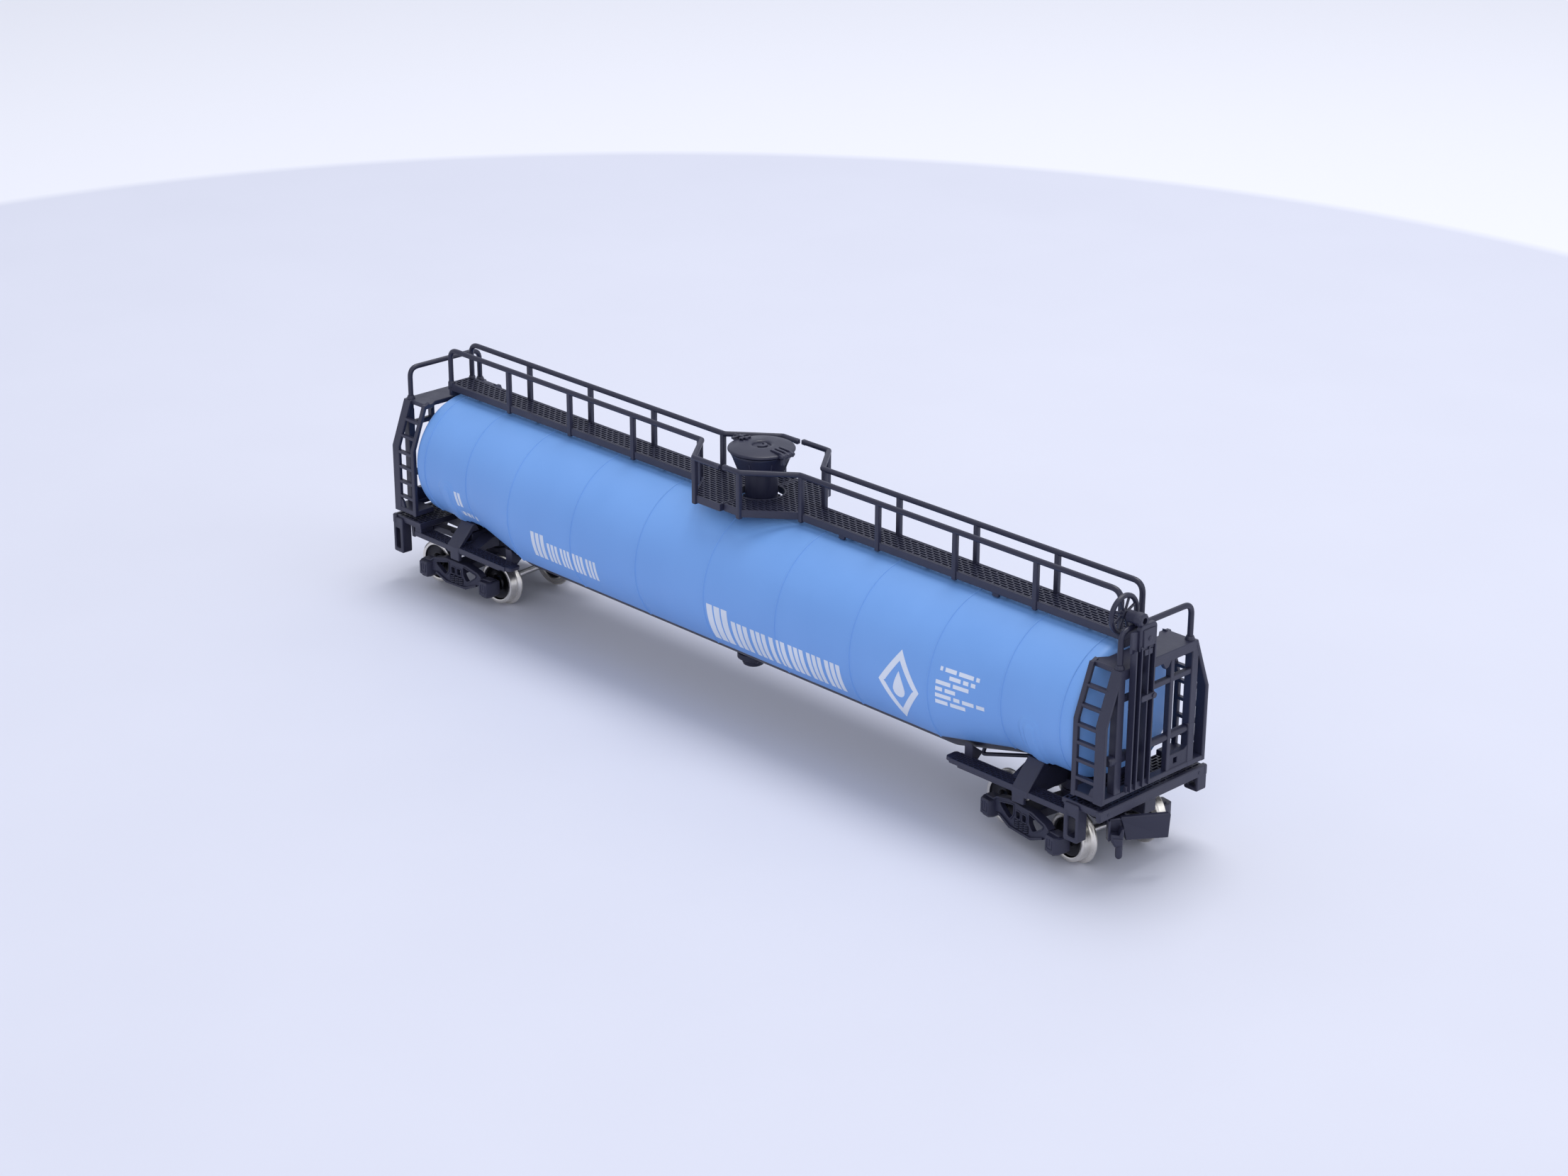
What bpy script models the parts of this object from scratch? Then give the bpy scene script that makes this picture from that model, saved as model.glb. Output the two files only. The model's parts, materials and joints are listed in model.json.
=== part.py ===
"""An HO scale (1:87) model tank wagon on two four-wheel trucks.

The Z = 0 plane is the plane the wheel flanges stand on, and X runs along the wagon. The end at +X, called
b, carries the hand brake; the end at -X is called a. All sizes below are in millimetres, and the functions
that make meshes turn them into metres.
"""

import math

import bmesh
import bpy
from mathutils import Matrix, Vector

MM = 0.001
GAP = 0.15  # between two pieces that touch

# Tank
TANK_TOP = 43.0
BELLY_RADIUS = 16.3
END_RADIUS = 14.3
CONE_START = 62.4
CONE_END = 79.2
HEAD_START = 95.3
HEAD_DEPTH = 3.9
TANK_WALL = 1.1
TANK_SIDES = 40
BELLY_JOINT = 15.6  # height of the seam between the tank and the belly pan
END_JOINT = 18.0
OUTLET_X = -2.4
STUBS = {"a": -44.0, "middle": -24.0, "b": 16.5}

# Walkway
DECK_TOP = 45.4
DECK_THICK = 0.8
SKIRT_BOTTOM = 43.8
DECK_HALF_WIDTH = 3.2
DECK_END = 98.4
RAIL_HEIGHT = 53.3
RAIL_RADIUS = 0.57
RAIL_BEND = 2.2
POST_PITCH = 20.5
POST_FIRST = 15.5
PLATFORM_HOLE = 4.7
HALVES_GAP = 0.3

# Manway
LID_RADIUS = 6.9
LID_EDGE_TOP = 55.0
LID_RIM = 0.7
NECK_RADIUS = 3.33
SPIGOT_RADIUS = 2.2

# End frames
FRAME_INNER_X = 97.2
FRAME_OUTER_X = 104.8
FRAME_TOP = 42.0
FRAME_BASE = 16.6
LADDER_HALF_WIDTH = 14.2
LADDER_BEND = 31.9
TOP_HALF_WIDTH = 10.4
RUNG_HEIGHTS = (20.4, 23.9, 27.4, 30.9, 34.4, 37.9)

# Hand brake
BRAKE_WHEEL = (101.0, -6.3, 50.9)
BRAKE_WHEEL_RADIUS = 4.0

# Underframe
SILL_END = 105.0
DECK_LEVEL = 15.5
BOARD_TOP = 13.2
BOARD_INNER_Y = 10.6
BOARD_OUTER_Y = 14.2
STIRRUP_BAR = 0.9
STIRRUP_INNER_Y = 12.6
CENTRE_SILL_BOTTOM = 10.3

# Trucks
TRUCK_X = 86.3
HALF_WHEELBASE = 9.65
AXLE_HEIGHT = 5.57
TREAD_RADIUS = 4.83
FLANGE_RADIUS = 5.57
BACK_TO_BACK = 14.4
FLANGE_THICK = 0.75
TREAD_OUTER_Y = 10.1
WHEEL_BORE = 0.85
WHEEL_STEPS = 20
SIDE_FRAME_Y = 13.3
JOURNAL_END = 12.9
JOURNAL_TOP = 7.2
COUPLER_PIVOT = 12.0
KINGPIN_RADIUS = 1.0
TRUCK_TURN = {"a": 4.8, "b": -9.2}  # degrees, how each truck stands
COUPLER_TURN = {"a": -0.2, "b": -23.8}  # degrees, from its truck's centre line
HALF_TURN = {"a": 180, "b": 0}  # degrees, the way each end faces


def clear_scene():
    for item in list(bpy.data.objects):
        bpy.data.objects.remove(item)


def new_collection(name):
    made = bpy.data.collections.new(name)
    bpy.context.scene.collection.children.link(made)
    return made


def paint(name, colour, roughness, metallic=0.0):
    material = bpy.data.materials.new(name)
    material.use_nodes = True
    shader = material.node_tree.nodes["Principled BSDF"]
    shader.inputs["Base Color"].default_value = (*colour, 1.0)
    shader.inputs["Roughness"].default_value = roughness
    shader.inputs["Metallic"].default_value = metallic
    return material


clear_scene()
WAGON = new_collection("tank_wagon")
CUTTERS = new_collection("cutters")
BLUE = paint("blue_plastic", (0.12, 0.29, 0.72), 0.42)
BLACK = paint("black_plastic", (0.030, 0.030, 0.042), 0.45)
NICKEL = paint("nickel_plate", (0.80, 0.74, 0.64), 0.28, 1.0)
STEEL = paint("steel", (0.45, 0.45, 0.45), 0.4, 1.0)


# ---------------------------------------------------------------- simple shapes


def shape_from(mesh):
    """A helper object, in metres, from a bmesh in millimetres."""
    bmesh.ops.scale(mesh, vec=(MM, MM, MM), verts=mesh.verts)
    bmesh.ops.recalc_face_normals(mesh, faces=mesh.faces)
    data = bpy.data.meshes.new("shape")
    mesh.to_mesh(data)
    mesh.free()
    return helper_object(data)


def helper_object(data):
    shape = bpy.data.objects.new("shape", data)
    shape.hide_render = True
    shape.display_type = "WIRE"
    CUTTERS.objects.link(shape)
    return shape


def block(lo, hi):
    """A box between two corners."""
    mesh = bmesh.new()
    bmesh.ops.create_cube(mesh, size=1.0)
    centre = (Vector(lo) + Vector(hi)) / 2
    size = Vector(hi) - Vector(lo)
    for vert in mesh.verts:
        vert.co = centre + Vector(size[i] * vert.co[i] for i in range(3))
    return shape_from(mesh)


def drum(start, end, radius, end_radius=None, sides=16):
    """A round bar or cone between two points."""
    start, end = Vector(start), Vector(end)
    along = end - start
    mesh = bmesh.new()
    bmesh.ops.create_cone(
        mesh,
        cap_ends=True,
        segments=sides,
        radius1=radius,
        radius2=radius if end_radius is None else end_radius,
        depth=along.length,
    )
    turn = along.to_track_quat("Z", "Y").to_matrix().to_4x4()
    bmesh.ops.transform(
        mesh, matrix=Matrix.Translation((start + end) / 2) @ turn, verts=mesh.verts
    )
    return shape_from(mesh)


def mesh_of_curve(curve, matrix):
    """A closed mesh helper from a curve, whose caps are welded on."""
    guide = bpy.data.objects.new("guide", curve)
    CUTTERS.objects.link(guide)
    guide.matrix_world = matrix
    graph = bpy.context.evaluated_depsgraph_get()
    data = bpy.data.meshes.new_from_object(guide.evaluated_get(graph))
    mesh = bmesh.new()
    mesh.from_mesh(data)
    bmesh.ops.transform(mesh, matrix=matrix, verts=mesh.verts)
    bmesh.ops.remove_doubles(mesh, verts=mesh.verts, dist=1e-6)
    bmesh.ops.recalc_face_normals(mesh, faces=mesh.faces)
    mesh.to_mesh(data)
    mesh.free()
    bpy.data.objects.remove(guide)
    return helper_object(data)


PLANES = {
    "XY": Matrix.Identity(4),
    "XZ": Matrix(((1, 0, 0, 0), (0, 0, -1, 0), (0, 1, 0, 0), (0, 0, 0, 1))),
    "YZ": Matrix(((0, 0, 1, 0), (1, 0, 0, 0), (0, 1, 0, 0), (0, 0, 0, 1))),
}


def plate(plane, outline, lo, hi, holes=()):
    """A flat outline in a plane, with holes, between two distances from that plane."""
    curve = bpy.data.curves.new("outline", "CURVE")
    curve.dimensions = "2D"
    curve.fill_mode = "BOTH"
    curve.extrude = abs(hi - lo) / 2 * MM
    for loop in (outline, *holes):
        spline = curve.splines.new("POLY")
        spline.points.add(len(loop) - 1)
        for point, (u, v) in zip(spline.points, loop):
            point.co = (u * MM, v * MM, 0, 1)
        spline.use_cyclic_u = True
    middle = (lo + hi) / 2 * MM
    across = {"XY": (0, 0, middle), "XZ": (0, middle, 0), "YZ": (middle, 0, 0)}[plane]
    return mesh_of_curve(curve, Matrix.Translation(across) @ PLANES[plane])


def rod(points, radius):
    """A round rod through some points."""
    curve = bpy.data.curves.new("rod", "CURVE")
    curve.dimensions = "3D"
    curve.bevel_depth = radius * MM
    curve.bevel_resolution = 2
    curve.use_fill_caps = True
    spline = curve.splines.new("POLY")
    spline.points.add(len(points) - 1)
    for point, place in zip(spline.points, points):
        point.co = (*(c * MM for c in place), 1)
    return mesh_of_curve(curve, Matrix.Identity(4))


def arc(centre, radius, start, end, steps):
    """Points on a circle in a plane, between two angles in degrees."""
    angles = [math.radians(start + (end - start) * i / steps) for i in range(steps + 1)]
    return [
        (centre[0] + radius * math.cos(a), centre[1] + radius * math.sin(a))
        for a in angles
    ]


def rounded(points, radius, steps=3):
    """A path whose inner corners are replaced by bends of about this radius."""
    path = [Vector(points[0])]
    for before, corner, after in zip(points, points[1:], points[2:]):
        before, corner, after = Vector(before), Vector(corner), Vector(after)
        back = (before - corner).normalized()
        ahead = (after - corner).normalized()
        start, end = corner + back * radius, corner + ahead * radius
        for i in range(steps + 1):
            t = i / steps
            path.append(
                start * (1 - t) ** 2 + corner * 2 * t * (1 - t) + end * t * t
            )
    path.append(Vector(points[-1]))
    return path


def inset(outline, distance):
    """The outline moved inward by a distance; it runs anticlockwise."""
    moved = []
    count = len(outline)
    for i in range(count):
        before = Vector(outline[i - 1])
        here = Vector(outline[i])
        after = Vector(outline[(i + 1) % count])
        first = (here - before).normalized()
        second = (after - here).normalized()
        inward = Vector((-first.y - second.y, first.x + second.x)).normalized()
        side = Vector((-first.y, first.x))
        moved.append(here + inward * distance / max(inward.dot(side), 0.4))
    return [tuple(p) for p in moved]


# ---------------------------------------------------------------- building nodes


def boolean(target, operation, others):
    """The target with every other helper joined to it or cut from it, in one step."""
    group = bpy.data.collections.new("operands")
    bpy.context.scene.collection.children.link(group)
    for other in others:
        CUTTERS.objects.unlink(other)
        group.objects.link(other)
    modifier = target.modifiers.new("join", "BOOLEAN")
    modifier.operation = operation
    modifier.operand_type = "COLLECTION"
    modifier.collection = group
    modifier.solver = "EXACT"
    bpy.context.view_layer.update()
    graph = bpy.context.evaluated_depsgraph_get()
    data = bpy.data.meshes.new_from_object(target.evaluated_get(graph))
    target.modifiers.clear()
    target.data = data
    for other in others:
        bpy.data.objects.remove(other)
    bpy.data.collections.remove(group)


def solid(pieces, material, cut=(), smooth=30):
    """One closed mesh: the pieces joined, less the cuts."""
    body = pieces[0]
    if len(pieces) > 1:
        boolean(body, "UNION", pieces[1:])
    if cut:
        boolean(body, "DIFFERENCE", list(cut))
    mesh = bmesh.new()
    mesh.from_mesh(body.data)
    bmesh.ops.remove_doubles(mesh, verts=mesh.verts, dist=2e-6)
    bmesh.ops.dissolve_limit(
        mesh, angle_limit=math.radians(0.5), verts=mesh.verts, edges=mesh.edges
    )
    bmesh.ops.triangulate(mesh, faces=mesh.faces)
    data = bpy.data.meshes.new("solid")
    mesh.to_mesh(data)
    mesh.free()
    bpy.data.objects.remove(body)
    data.materials.append(material)
    data.shade_smooth()
    data.set_sharp_from_angle(angle=math.radians(smooth))
    return data


def place(name, data, parent=None, location=(0, 0, 0), turn=0):
    """A named sub-part that shows a solid's mesh, turned about Z."""
    body = bpy.data.objects.new(name, data)
    body.parent = parent
    body.location = [c * MM for c in location]
    body.rotation_euler.z = math.radians(turn)
    WAGON.objects.link(body)
    return body


def place_both_ends(name, data):
    """The same sub-part at both ends of the wagon, half a turn apart."""
    for end in "ab":
        place(f"{name}_{end}", data, turn=HALF_TURN[end])


def pivot(name, place, turn, parent=None):
    """An empty on a joint's axis, turned about Z."""
    empty = bpy.data.objects.new(name, None)
    empty.empty_display_size = 5 * MM
    empty.location = [c * MM for c in place]
    empty.rotation_euler.z = math.radians(turn)
    empty.parent = parent
    WAGON.objects.link(empty)
    return empty


# ---------------------------------------------------------------- tank


def tank_circle(x, shrink):
    """Radius and centre height of the tank's section at x, less an inset all round."""
    along = abs(x)
    if along <= CONE_START:
        radius = BELLY_RADIUS
    elif along >= CONE_END:
        radius = END_RADIUS
    else:
        share = (along - CONE_START) / (CONE_END - CONE_START)
        radius = BELLY_RADIUS + (END_RADIUS - BELLY_RADIUS) * share
    centre = TANK_TOP - radius
    if along > HEAD_START:
        depth = min((along - HEAD_START) / (HEAD_DEPTH - shrink), 1)
        radius = (radius - shrink) * (1 - depth**3) ** 0.45 + shrink
    return radius - shrink, centre


def tank_form(shrink, sides, head_steps):
    """The tank's whole outer form, or an inner one: round sections lofted along X."""
    head = [
        HEAD_START + (HEAD_DEPTH - shrink) * share
        for share in [i / head_steps for i in range(head_steps)] + [0.985]
    ]
    half = [CONE_START, CONE_END, *head]
    stations = [-x for x in reversed(half)] + half
    mesh = bmesh.new()
    rings = []
    for x in stations:
        radius, centre = tank_circle(x, shrink)
        rings.append(
            [
                mesh.verts.new(
                    (
                        x,
                        radius * math.sin(math.tau * i / sides),
                        centre + radius * math.cos(math.tau * i / sides),
                    )
                )
                for i in range(sides)
            ]
        )
    for ring, after in zip(rings, rings[1:]):
        for i in range(sides):
            j = (i + 1) % sides
            mesh.faces.new((ring[i], ring[j], after[j], after[i]))
    mesh.faces.new(reversed(rings[0]))
    mesh.faces.new(rings[-1])
    return shape_from(mesh)


def joint_profile(offset, far_z):
    """The outline, in XZ, of the space between the tank's lower seam and a far level."""
    seam = [
        (-110, END_JOINT),
        (-CONE_END, END_JOINT),
        (-CONE_START, BELLY_JOINT),
        (CONE_START, BELLY_JOINT),
        (CONE_END, END_JOINT),
        (110, END_JOINT),
    ]
    return [(-110, far_z)] + [(x, z + offset) for x, z in seam] + [(110, far_z)]


def make_tank():
    shell = solid(
        [tank_form(0, TANK_SIDES, 5)],
        BLUE,
        cut=[
            tank_form(TANK_WALL, 24, 2),
            plate("XZ", joint_profile(0, 0), -20, 20),
            drum((0, 0, 40), (0, 0, 45), SPIGOT_RADIUS + 0.2),
        ],
    )
    place("tank_shell", shell)
    pan_end = CONE_END - 0.3
    pan = solid(
        [tank_form(0, TANK_SIDES, 2)],
        BLACK,
        cut=[
            tank_form(TANK_WALL + 0.3, 24, 2),
            plate("XZ", joint_profile(-GAP, 60), -20, 20),
            block((pan_end, -20, 0), (110, 20, 60)),
            block((-110, -20, 0), (-pan_end, 20, 60)),
        ],
    )
    place("belly_pan", pan)


def make_outlets():
    """The bottom outlet valve and the smaller pipe stubs under the belly."""
    bottom = TANK_TOP - 2 * BELLY_RADIUS - GAP
    valve = solid(
        [
            drum((0, 0, 8.0), (0, 0, bottom), 3.4),
            drum((0, 0, 6.5), (0, 0, 8.4), 2.3),
            block((-7.2, -1.2, 8.2), (7.2, 1.2, 9.8)),
        ],
        BLACK,
    )
    place("outlet_valve", valve, location=(OUTLET_X, 0, 0))
    stub = solid(
        [
            drum((0, 0, 8.9), (0, 0, bottom), 1.5),
            block((-2.2, -0.8, 9.4), (2.2, 0.8, bottom - 0.1)),
        ],
        BLACK,
    )
    for name, x in STUBS.items():
        place(f"pipe_stub_{name}", stub, location=(x, 0, 0))


def make_ballast():
    """The steel strip inside, which gives the wagon its weight."""
    low = TANK_TOP - 2 * BELLY_RADIUS + TANK_WALL + 2.5
    place("ballast_weight", solid([block((-52, -7.0, low), (52, 7.0, low + 2.2))], STEEL))


# ---------------------------------------------------------------- walkway and manway


def walkway_outline():
    """Plan of the walkway half at +X with its share of the platform, anticlockwise."""
    edge = HALVES_GAP / 2
    reach = math.degrees(math.acos(edge / PLATFORM_HOLE))
    hole = arc((0, 0), PLATFORM_HOLE, reach, -reach, 10)
    return hole + [
        (edge, -10.5),
        (5.2, -10.5),
        (13.9, -DECK_HALF_WIDTH),
        (DECK_END, -DECK_HALF_WIDTH),
        (DECK_END, DECK_HALF_WIDTH),
        (14.1, DECK_HALF_WIDTH),
        (8.1, 11.35),
        (edge, 11.35),
    ]


def walkway_pieces():
    outline = walkway_outline()
    deck_bottom = DECK_TOP - DECK_THICK
    pieces = [
        plate("XY", outline, deck_bottom, DECK_TOP),
        plate("XY", outline, SKIRT_BOTTOM, DECK_TOP - 0.2, holes=[inset(outline, 0.8)]),
    ]
    post_y = DECK_HALF_WIDTH - 0.25
    post_tops = RAIL_HEIGHT + 0.1
    places = [
        (POST_FIRST + POST_PITCH * i, side * post_y)
        for i in range(1, 4)
        for side in (-1, 1)
    ]
    places += [(14.6, -post_y), (15.2, post_y), (4.7, -10.6), (7.7, 11.2)]
    for x, y in places:
        pieces.append(
            block((x - 0.55, y - 0.5, SKIRT_BOTTOM), (x + 0.55, y + 0.5, post_tops))
        )
    end_post = POST_FIRST + POST_PITCH * 4
    platform = {
        -1: [(14.2, -post_y), (4.9, -10.7), (0.9, -10.7)],
        1: [(14.6, post_y), (7.9, 11.3), (0.9, 11.3)],
    }
    for side, corners in platform.items():
        route = [(end_post, side * post_y, DECK_TOP - 0.6)]
        route += [(end_post, side * post_y, RAIL_HEIGHT)]
        route += [(x, y, RAIL_HEIGHT) for x, y in corners]
        bent = rounded(route[:3], RAIL_BEND)[:-1] + [Vector(p) for p in route[2:]]
        pieces.append(rod(bent, RAIL_RADIUS))
    for x in (26.0, 67.0):
        pieces.append(block((x - 0.9, -0.9, TANK_TOP + GAP), (x + 0.9, 0.9, DECK_TOP - 0.3)))
    pieces.append(
        block(
            (DECK_END - 0.9, -2.4, FRAME_TOP + GAP),
            (DECK_END - 0.1, 2.4, DECK_TOP - 0.3),
        )
    )
    return pieces


def make_walkway():
    place_both_ends("walkway_half", solid(walkway_pieces(), BLACK))


def make_manway():
    cup_bottom, cup_top = 50.5, LID_EDGE_TOP - LID_RIM - GAP
    neck = solid(
        [
            drum((0, 0, cup_bottom - 0.1), (0, 0, cup_top), 5.0, 6.6, 28),
            drum((0, 0, TANK_TOP + GAP), (0, 0, cup_bottom + 1), NECK_RADIUS, sides=20),
            drum((0, 0, TANK_TOP - 2.5), (0, 0, TANK_TOP + 1), SPIGOT_RADIUS),
        ],
        BLACK,
    )
    place("manway_neck", neck)
    rim_bottom = LID_EDGE_TOP - LID_RIM
    hinge = block((5.0, -1.4, rim_bottom), (7.9, 1.6, LID_EDGE_TOP + 0.7))
    latch = block((-8.2, -0.9, rim_bottom), (-4.6, 0.9, LID_EDGE_TOP + 0.8))
    lid = solid(
        [
            drum((0, 0, rim_bottom), (0, 0, LID_EDGE_TOP), LID_RADIUS, sides=36),
            drum((0, 0, LID_EDGE_TOP - 0.1), (0, 0, LID_EDGE_TOP + 0.7), 6.6, 2.2, 36),
            hinge,
            latch,
        ],
        BLACK,
        cut=[drum((0, 0, LID_EDGE_TOP + 0.2), (0, 0, LID_EDGE_TOP + 2), 1.9, sides=20)],
    )
    place("manway_lid", lid)


# ---------------------------------------------------------------- end frames and hand brake


def ladder_y(z):
    """Distance of the ladder's plane from the centre line at a height."""
    if z <= LADDER_BEND:
        return LADDER_HALF_WIDTH
    share = (z - LADDER_BEND) / (FRAME_TOP - LADDER_BEND)
    return LADDER_HALF_WIDTH + (TOP_HALF_WIDTH - LADDER_HALF_WIDTH) * share


def ladder_pieces(side):
    """One ladder: two stiles that lean in at the top, and its rungs."""
    outer = [(ladder_y(z) + 0.45, z) for z in (FRAME_BASE, LADDER_BEND, FRAME_TOP)]
    inner = [(ladder_y(z) - 0.45, z) for z in (FRAME_TOP, LADDER_BEND, FRAME_BASE)]
    outline = [(side * y, z) for y, z in outer + inner]
    pieces = [
        plate("YZ", outline, FRAME_INNER_X, FRAME_INNER_X + 1.1),
        plate("YZ", outline, FRAME_OUTER_X - 2.3, FRAME_OUTER_X),
    ]
    for z in RUNG_HEIGHTS:
        y = side * ladder_y(z)
        pieces.append(
            block(
                (FRAME_INNER_X + 0.5, y - 0.4, z - 0.4),
                (FRAME_OUTER_X - 1.5, y + 0.4, z + 0.4),
            )
        )
    return pieces


def end_frame_pieces():
    far, near = FRAME_OUTER_X, FRAME_OUTER_X - 2.3
    inner_edge = [(98.4, 7.0), (FRAME_INNER_X, 8.6), (FRAME_INNER_X, TOP_HALF_WIDTH)]
    top = [(x, -y) for x, y in inner_edge]
    top += [(far, -TOP_HALF_WIDTH), (far, TOP_HALF_WIDTH)]
    top += reversed(inner_edge)
    pieces = [plate("XY", top, FRAME_TOP - 1.0, FRAME_TOP)]
    for side in (-1, 1):
        pieces += ladder_pieces(side)
        low, high = sorted((side * 9.4, side * 11.2))
        pieces.append(block((near + 0.4, low, FRAME_BASE), (far - 0.1, high, 39.8)))
        brace = [(9.4, 39.0), (11.5, 39.0), (10.6, FRAME_TOP - 0.2), (9.4, FRAME_TOP - 0.2)]
        pieces.append(
            plate("YZ", [(side * y, z) for y, z in brace], near + 0.4, far - 0.1)
        )
        tab = [(-1.8, 41.2), (1.8, 41.2), (0, 38.8)]
        pieces.append(plate("YZ", [(y + 2.2 * side, z) for y, z in tab], far - 1.1, far - 0.1))
        pieces.append(
            block(
                (FRAME_INNER_X, min(side * 9.4, side * 14.6), FRAME_BASE),
                (far, max(side * 9.4, side * 14.6), FRAME_BASE + 1.2),
            )
        )
    pieces += [
        block((near + 0.8, 3.5, FRAME_BASE + 0.3), (far - 0.2, 4.5, FRAME_TOP - 0.4)),
        block((near + 0.9, -11.0, 35.5), (far - 0.3, 11.0, 36.6)),
        block((near + 0.5, -9.8, FRAME_BASE), (far, 9.8, FRAME_BASE + 1.2)),
        block((near + 0.7, 4.2, FRAME_BASE + 0.5), (far - 0.2, 9.8, 20.6)),
        drum((near + 1.2, -10.8, 24.4), (near + 1.2, 10.2, 24.4), 0.8, sides=10),
        drum((near + 1.2, -12.4, 24.4), (near + 1.2, -7.0, 24.4), 1.05, sides=10),
    ]
    rail_top = 49.1
    rail_x = 103.5
    rail = rounded(
        [
            (rail_x, -9.8, FRAME_TOP - 0.5),
            (rail_x, -9.8, rail_top),
            (rail_x, 9.8, rail_top),
            (rail_x, 9.8, FRAME_TOP - 0.5),
        ],
        RAIL_BEND,
    )
    pieces.append(rod(rail, RAIL_RADIUS))
    return pieces


def make_end_frames():
    place_both_ends("end_frame", solid(end_frame_pieces(), BLACK))


def make_hand_brake():
    face = FRAME_OUTER_X + GAP
    wheel_y, wheel_z = BRAKE_WHEEL[1:]
    stand = solid(
        [
            block((face, -9.0, 18.0), (face + 1.4, -7.4, 46.0)),
            block((face, -6.0, 18.0), (face + 1.4, -4.0, 46.0)),
            block((face, -8.8, 34.9), (face + 1.6, -3.1, 36.0)),
            block((face, -9.3, 45.0), (face + 1.0, -2.5, 50.4)),
            drum((face, wheel_y, wheel_z), (face + 1.0, wheel_y, wheel_z), 1.4, sides=16),
            block((face, -9.2, 17.9), (face + 0.9, -3.8, 19.2)),
        ],
        BLACK,
        cut=[drum((100, wheel_y, wheel_z), (face + 0.7, wheel_y, wheel_z), 0.65, sides=12)],
    )
    place("brake_stand", stand)
    windows = []
    for i in range(8):
        middle = math.tau * (i + 0.5) / 8
        corners = ((1.3, -0.17), (3.2, -0.30), (3.2, 0.30), (1.3, 0.17))
        outline = [(r * math.cos(middle + a), r * math.sin(middle + a)) for r, a in corners]
        windows.append(plate("YZ", outline, -1, 1))
    shaft_end = face + 0.5 - BRAKE_WHEEL[0]
    wheel = solid(
        [
            drum((-0.5, 0, 0), (0.5, 0, 0), BRAKE_WHEEL_RADIUS, sides=28),
            drum((-0.6, 0, 0), (0.7, 0, 0), 1.0, sides=14),
            drum((-0.3, 0, 0), (shaft_end, 0, 0), 0.45, sides=10),
        ],
        BLACK,
        cut=windows,
    )
    place("brake_wheel", wheel, location=BRAKE_WHEEL)


# ---------------------------------------------------------------- underframe


def underframe_pieces(stirrups):
    """The end of the underframe at +X; stirrups gives (start, end, bottom) for each side."""
    sill_bottom = 13.5
    pieces = [
        block((79.4, -1.7, CENTRE_SILL_BOTTOM), (104.3, 1.7, 14.9)),
        block((95.5, -14.8, DECK_LEVEL - 0.9), (SILL_END, 14.8, DECK_LEVEL)),
        block((104.1, -15.3, sill_bottom), (SILL_END + 0.1, 15.3, DECK_LEVEL + 0.1)),
        drum((TRUCK_X, 0, 9.75), (TRUCK_X, 0, 12), 3.0),
        block((83.2, -12.0, 11.2), (86.3, 12.0, 13.6)),
        block((83.2, -9.8, 13.4), (86.3, 9.8, 15.2)),
    ]
    for side in (-1, 1):
        arm = [
            (9.0, 17.8),
            (9.95, 17.8),
            (14.3, 13.0),
            (14.3, 11.6),
            (13.3, 11.6),
            (13.3, 12.6),
            (9.9, 15.9),
            (8.0, 15.9),
        ]
        pieces.append(plate("YZ", [(side * y, z) for y, z in arm], 82.6, 86.7))
        foot = [(13.3, 9.9), (14.3, 9.9), (14.3, 12.2), (13.3, 12.2)]
        pieces.append(plate("YZ", [(side * y, z) for y, z in foot], 82.6, 85.7))
        pieces += side_board_pieces(side)
        web = [(5.0, 12.2), (11.2, 12.2), (11.2, 13.0), (7.0, 14.8), (5.0, 14.8)]
        pieces.append(plate("YZ", [(side * y, z) for y, z in web], 79.6, 82.9))
        bracket = [(11.2, 12.0), (11.2, 16.0), (9.0, 14.3), (8.0, 13.6), (9.6, 12.0)]
        pieces.append(plate("YZ", [(side * y, z) for y, z in bracket], 67.7, 69.8))
        start, end, bottom = stirrups[side]
        corner = 0.5
        outline = [
            (start, 15.2),
            (start, bottom + corner),
            (start + corner, bottom),
            (end - corner, bottom),
            (end, bottom + corner),
            (end, 15.2),
        ]
        hole = [
            (start + STIRRUP_BAR, 11.3),
            (start + STIRRUP_BAR, bottom + STIRRUP_BAR),
            (end - STIRRUP_BAR, bottom + STIRRUP_BAR),
            (end - STIRRUP_BAR, 11.3),
        ]
        holes = [hole] if bottom + STIRRUP_BAR < 10 else []
        pieces.append(plate("XZ", outline, side * STIRRUP_INNER_Y, side * 15.2, holes=holes))
    return pieces


def side_board_pieces(side):
    """The long board towards the middle and the short one towards the end, on one side."""
    near, far = sorted((side * BOARD_INNER_Y, side * BOARD_OUTER_Y))
    return [
        block((66.6, near, BOARD_TOP - 1.4), (83.4, far, BOARD_TOP)),
        block((65.3, near + 0.6, BOARD_TOP - 1.4), (67.0, far - 0.6, BOARD_TOP)),
        block((86.2, near, 11.5), (98.5, far, 12.9)),
        block((96.0, near, 12.5), (98.5, far, DECK_LEVEL - 0.2)),
    ]


def saddle():
    """The black lower part of the tank's end section, from the cone outwards."""
    form = tank_form(0, TANK_SIDES, 2)
    beyond = [
        plate("XZ", joint_profile(-GAP, 60), -20, 20),
        block((-110, -20, 0), (CONE_END, 20, 60)),
        block((96.2, -20, 0), (110, 20, 60)),
    ]
    boolean(form, "DIFFERENCE", beyond)
    return form


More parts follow.
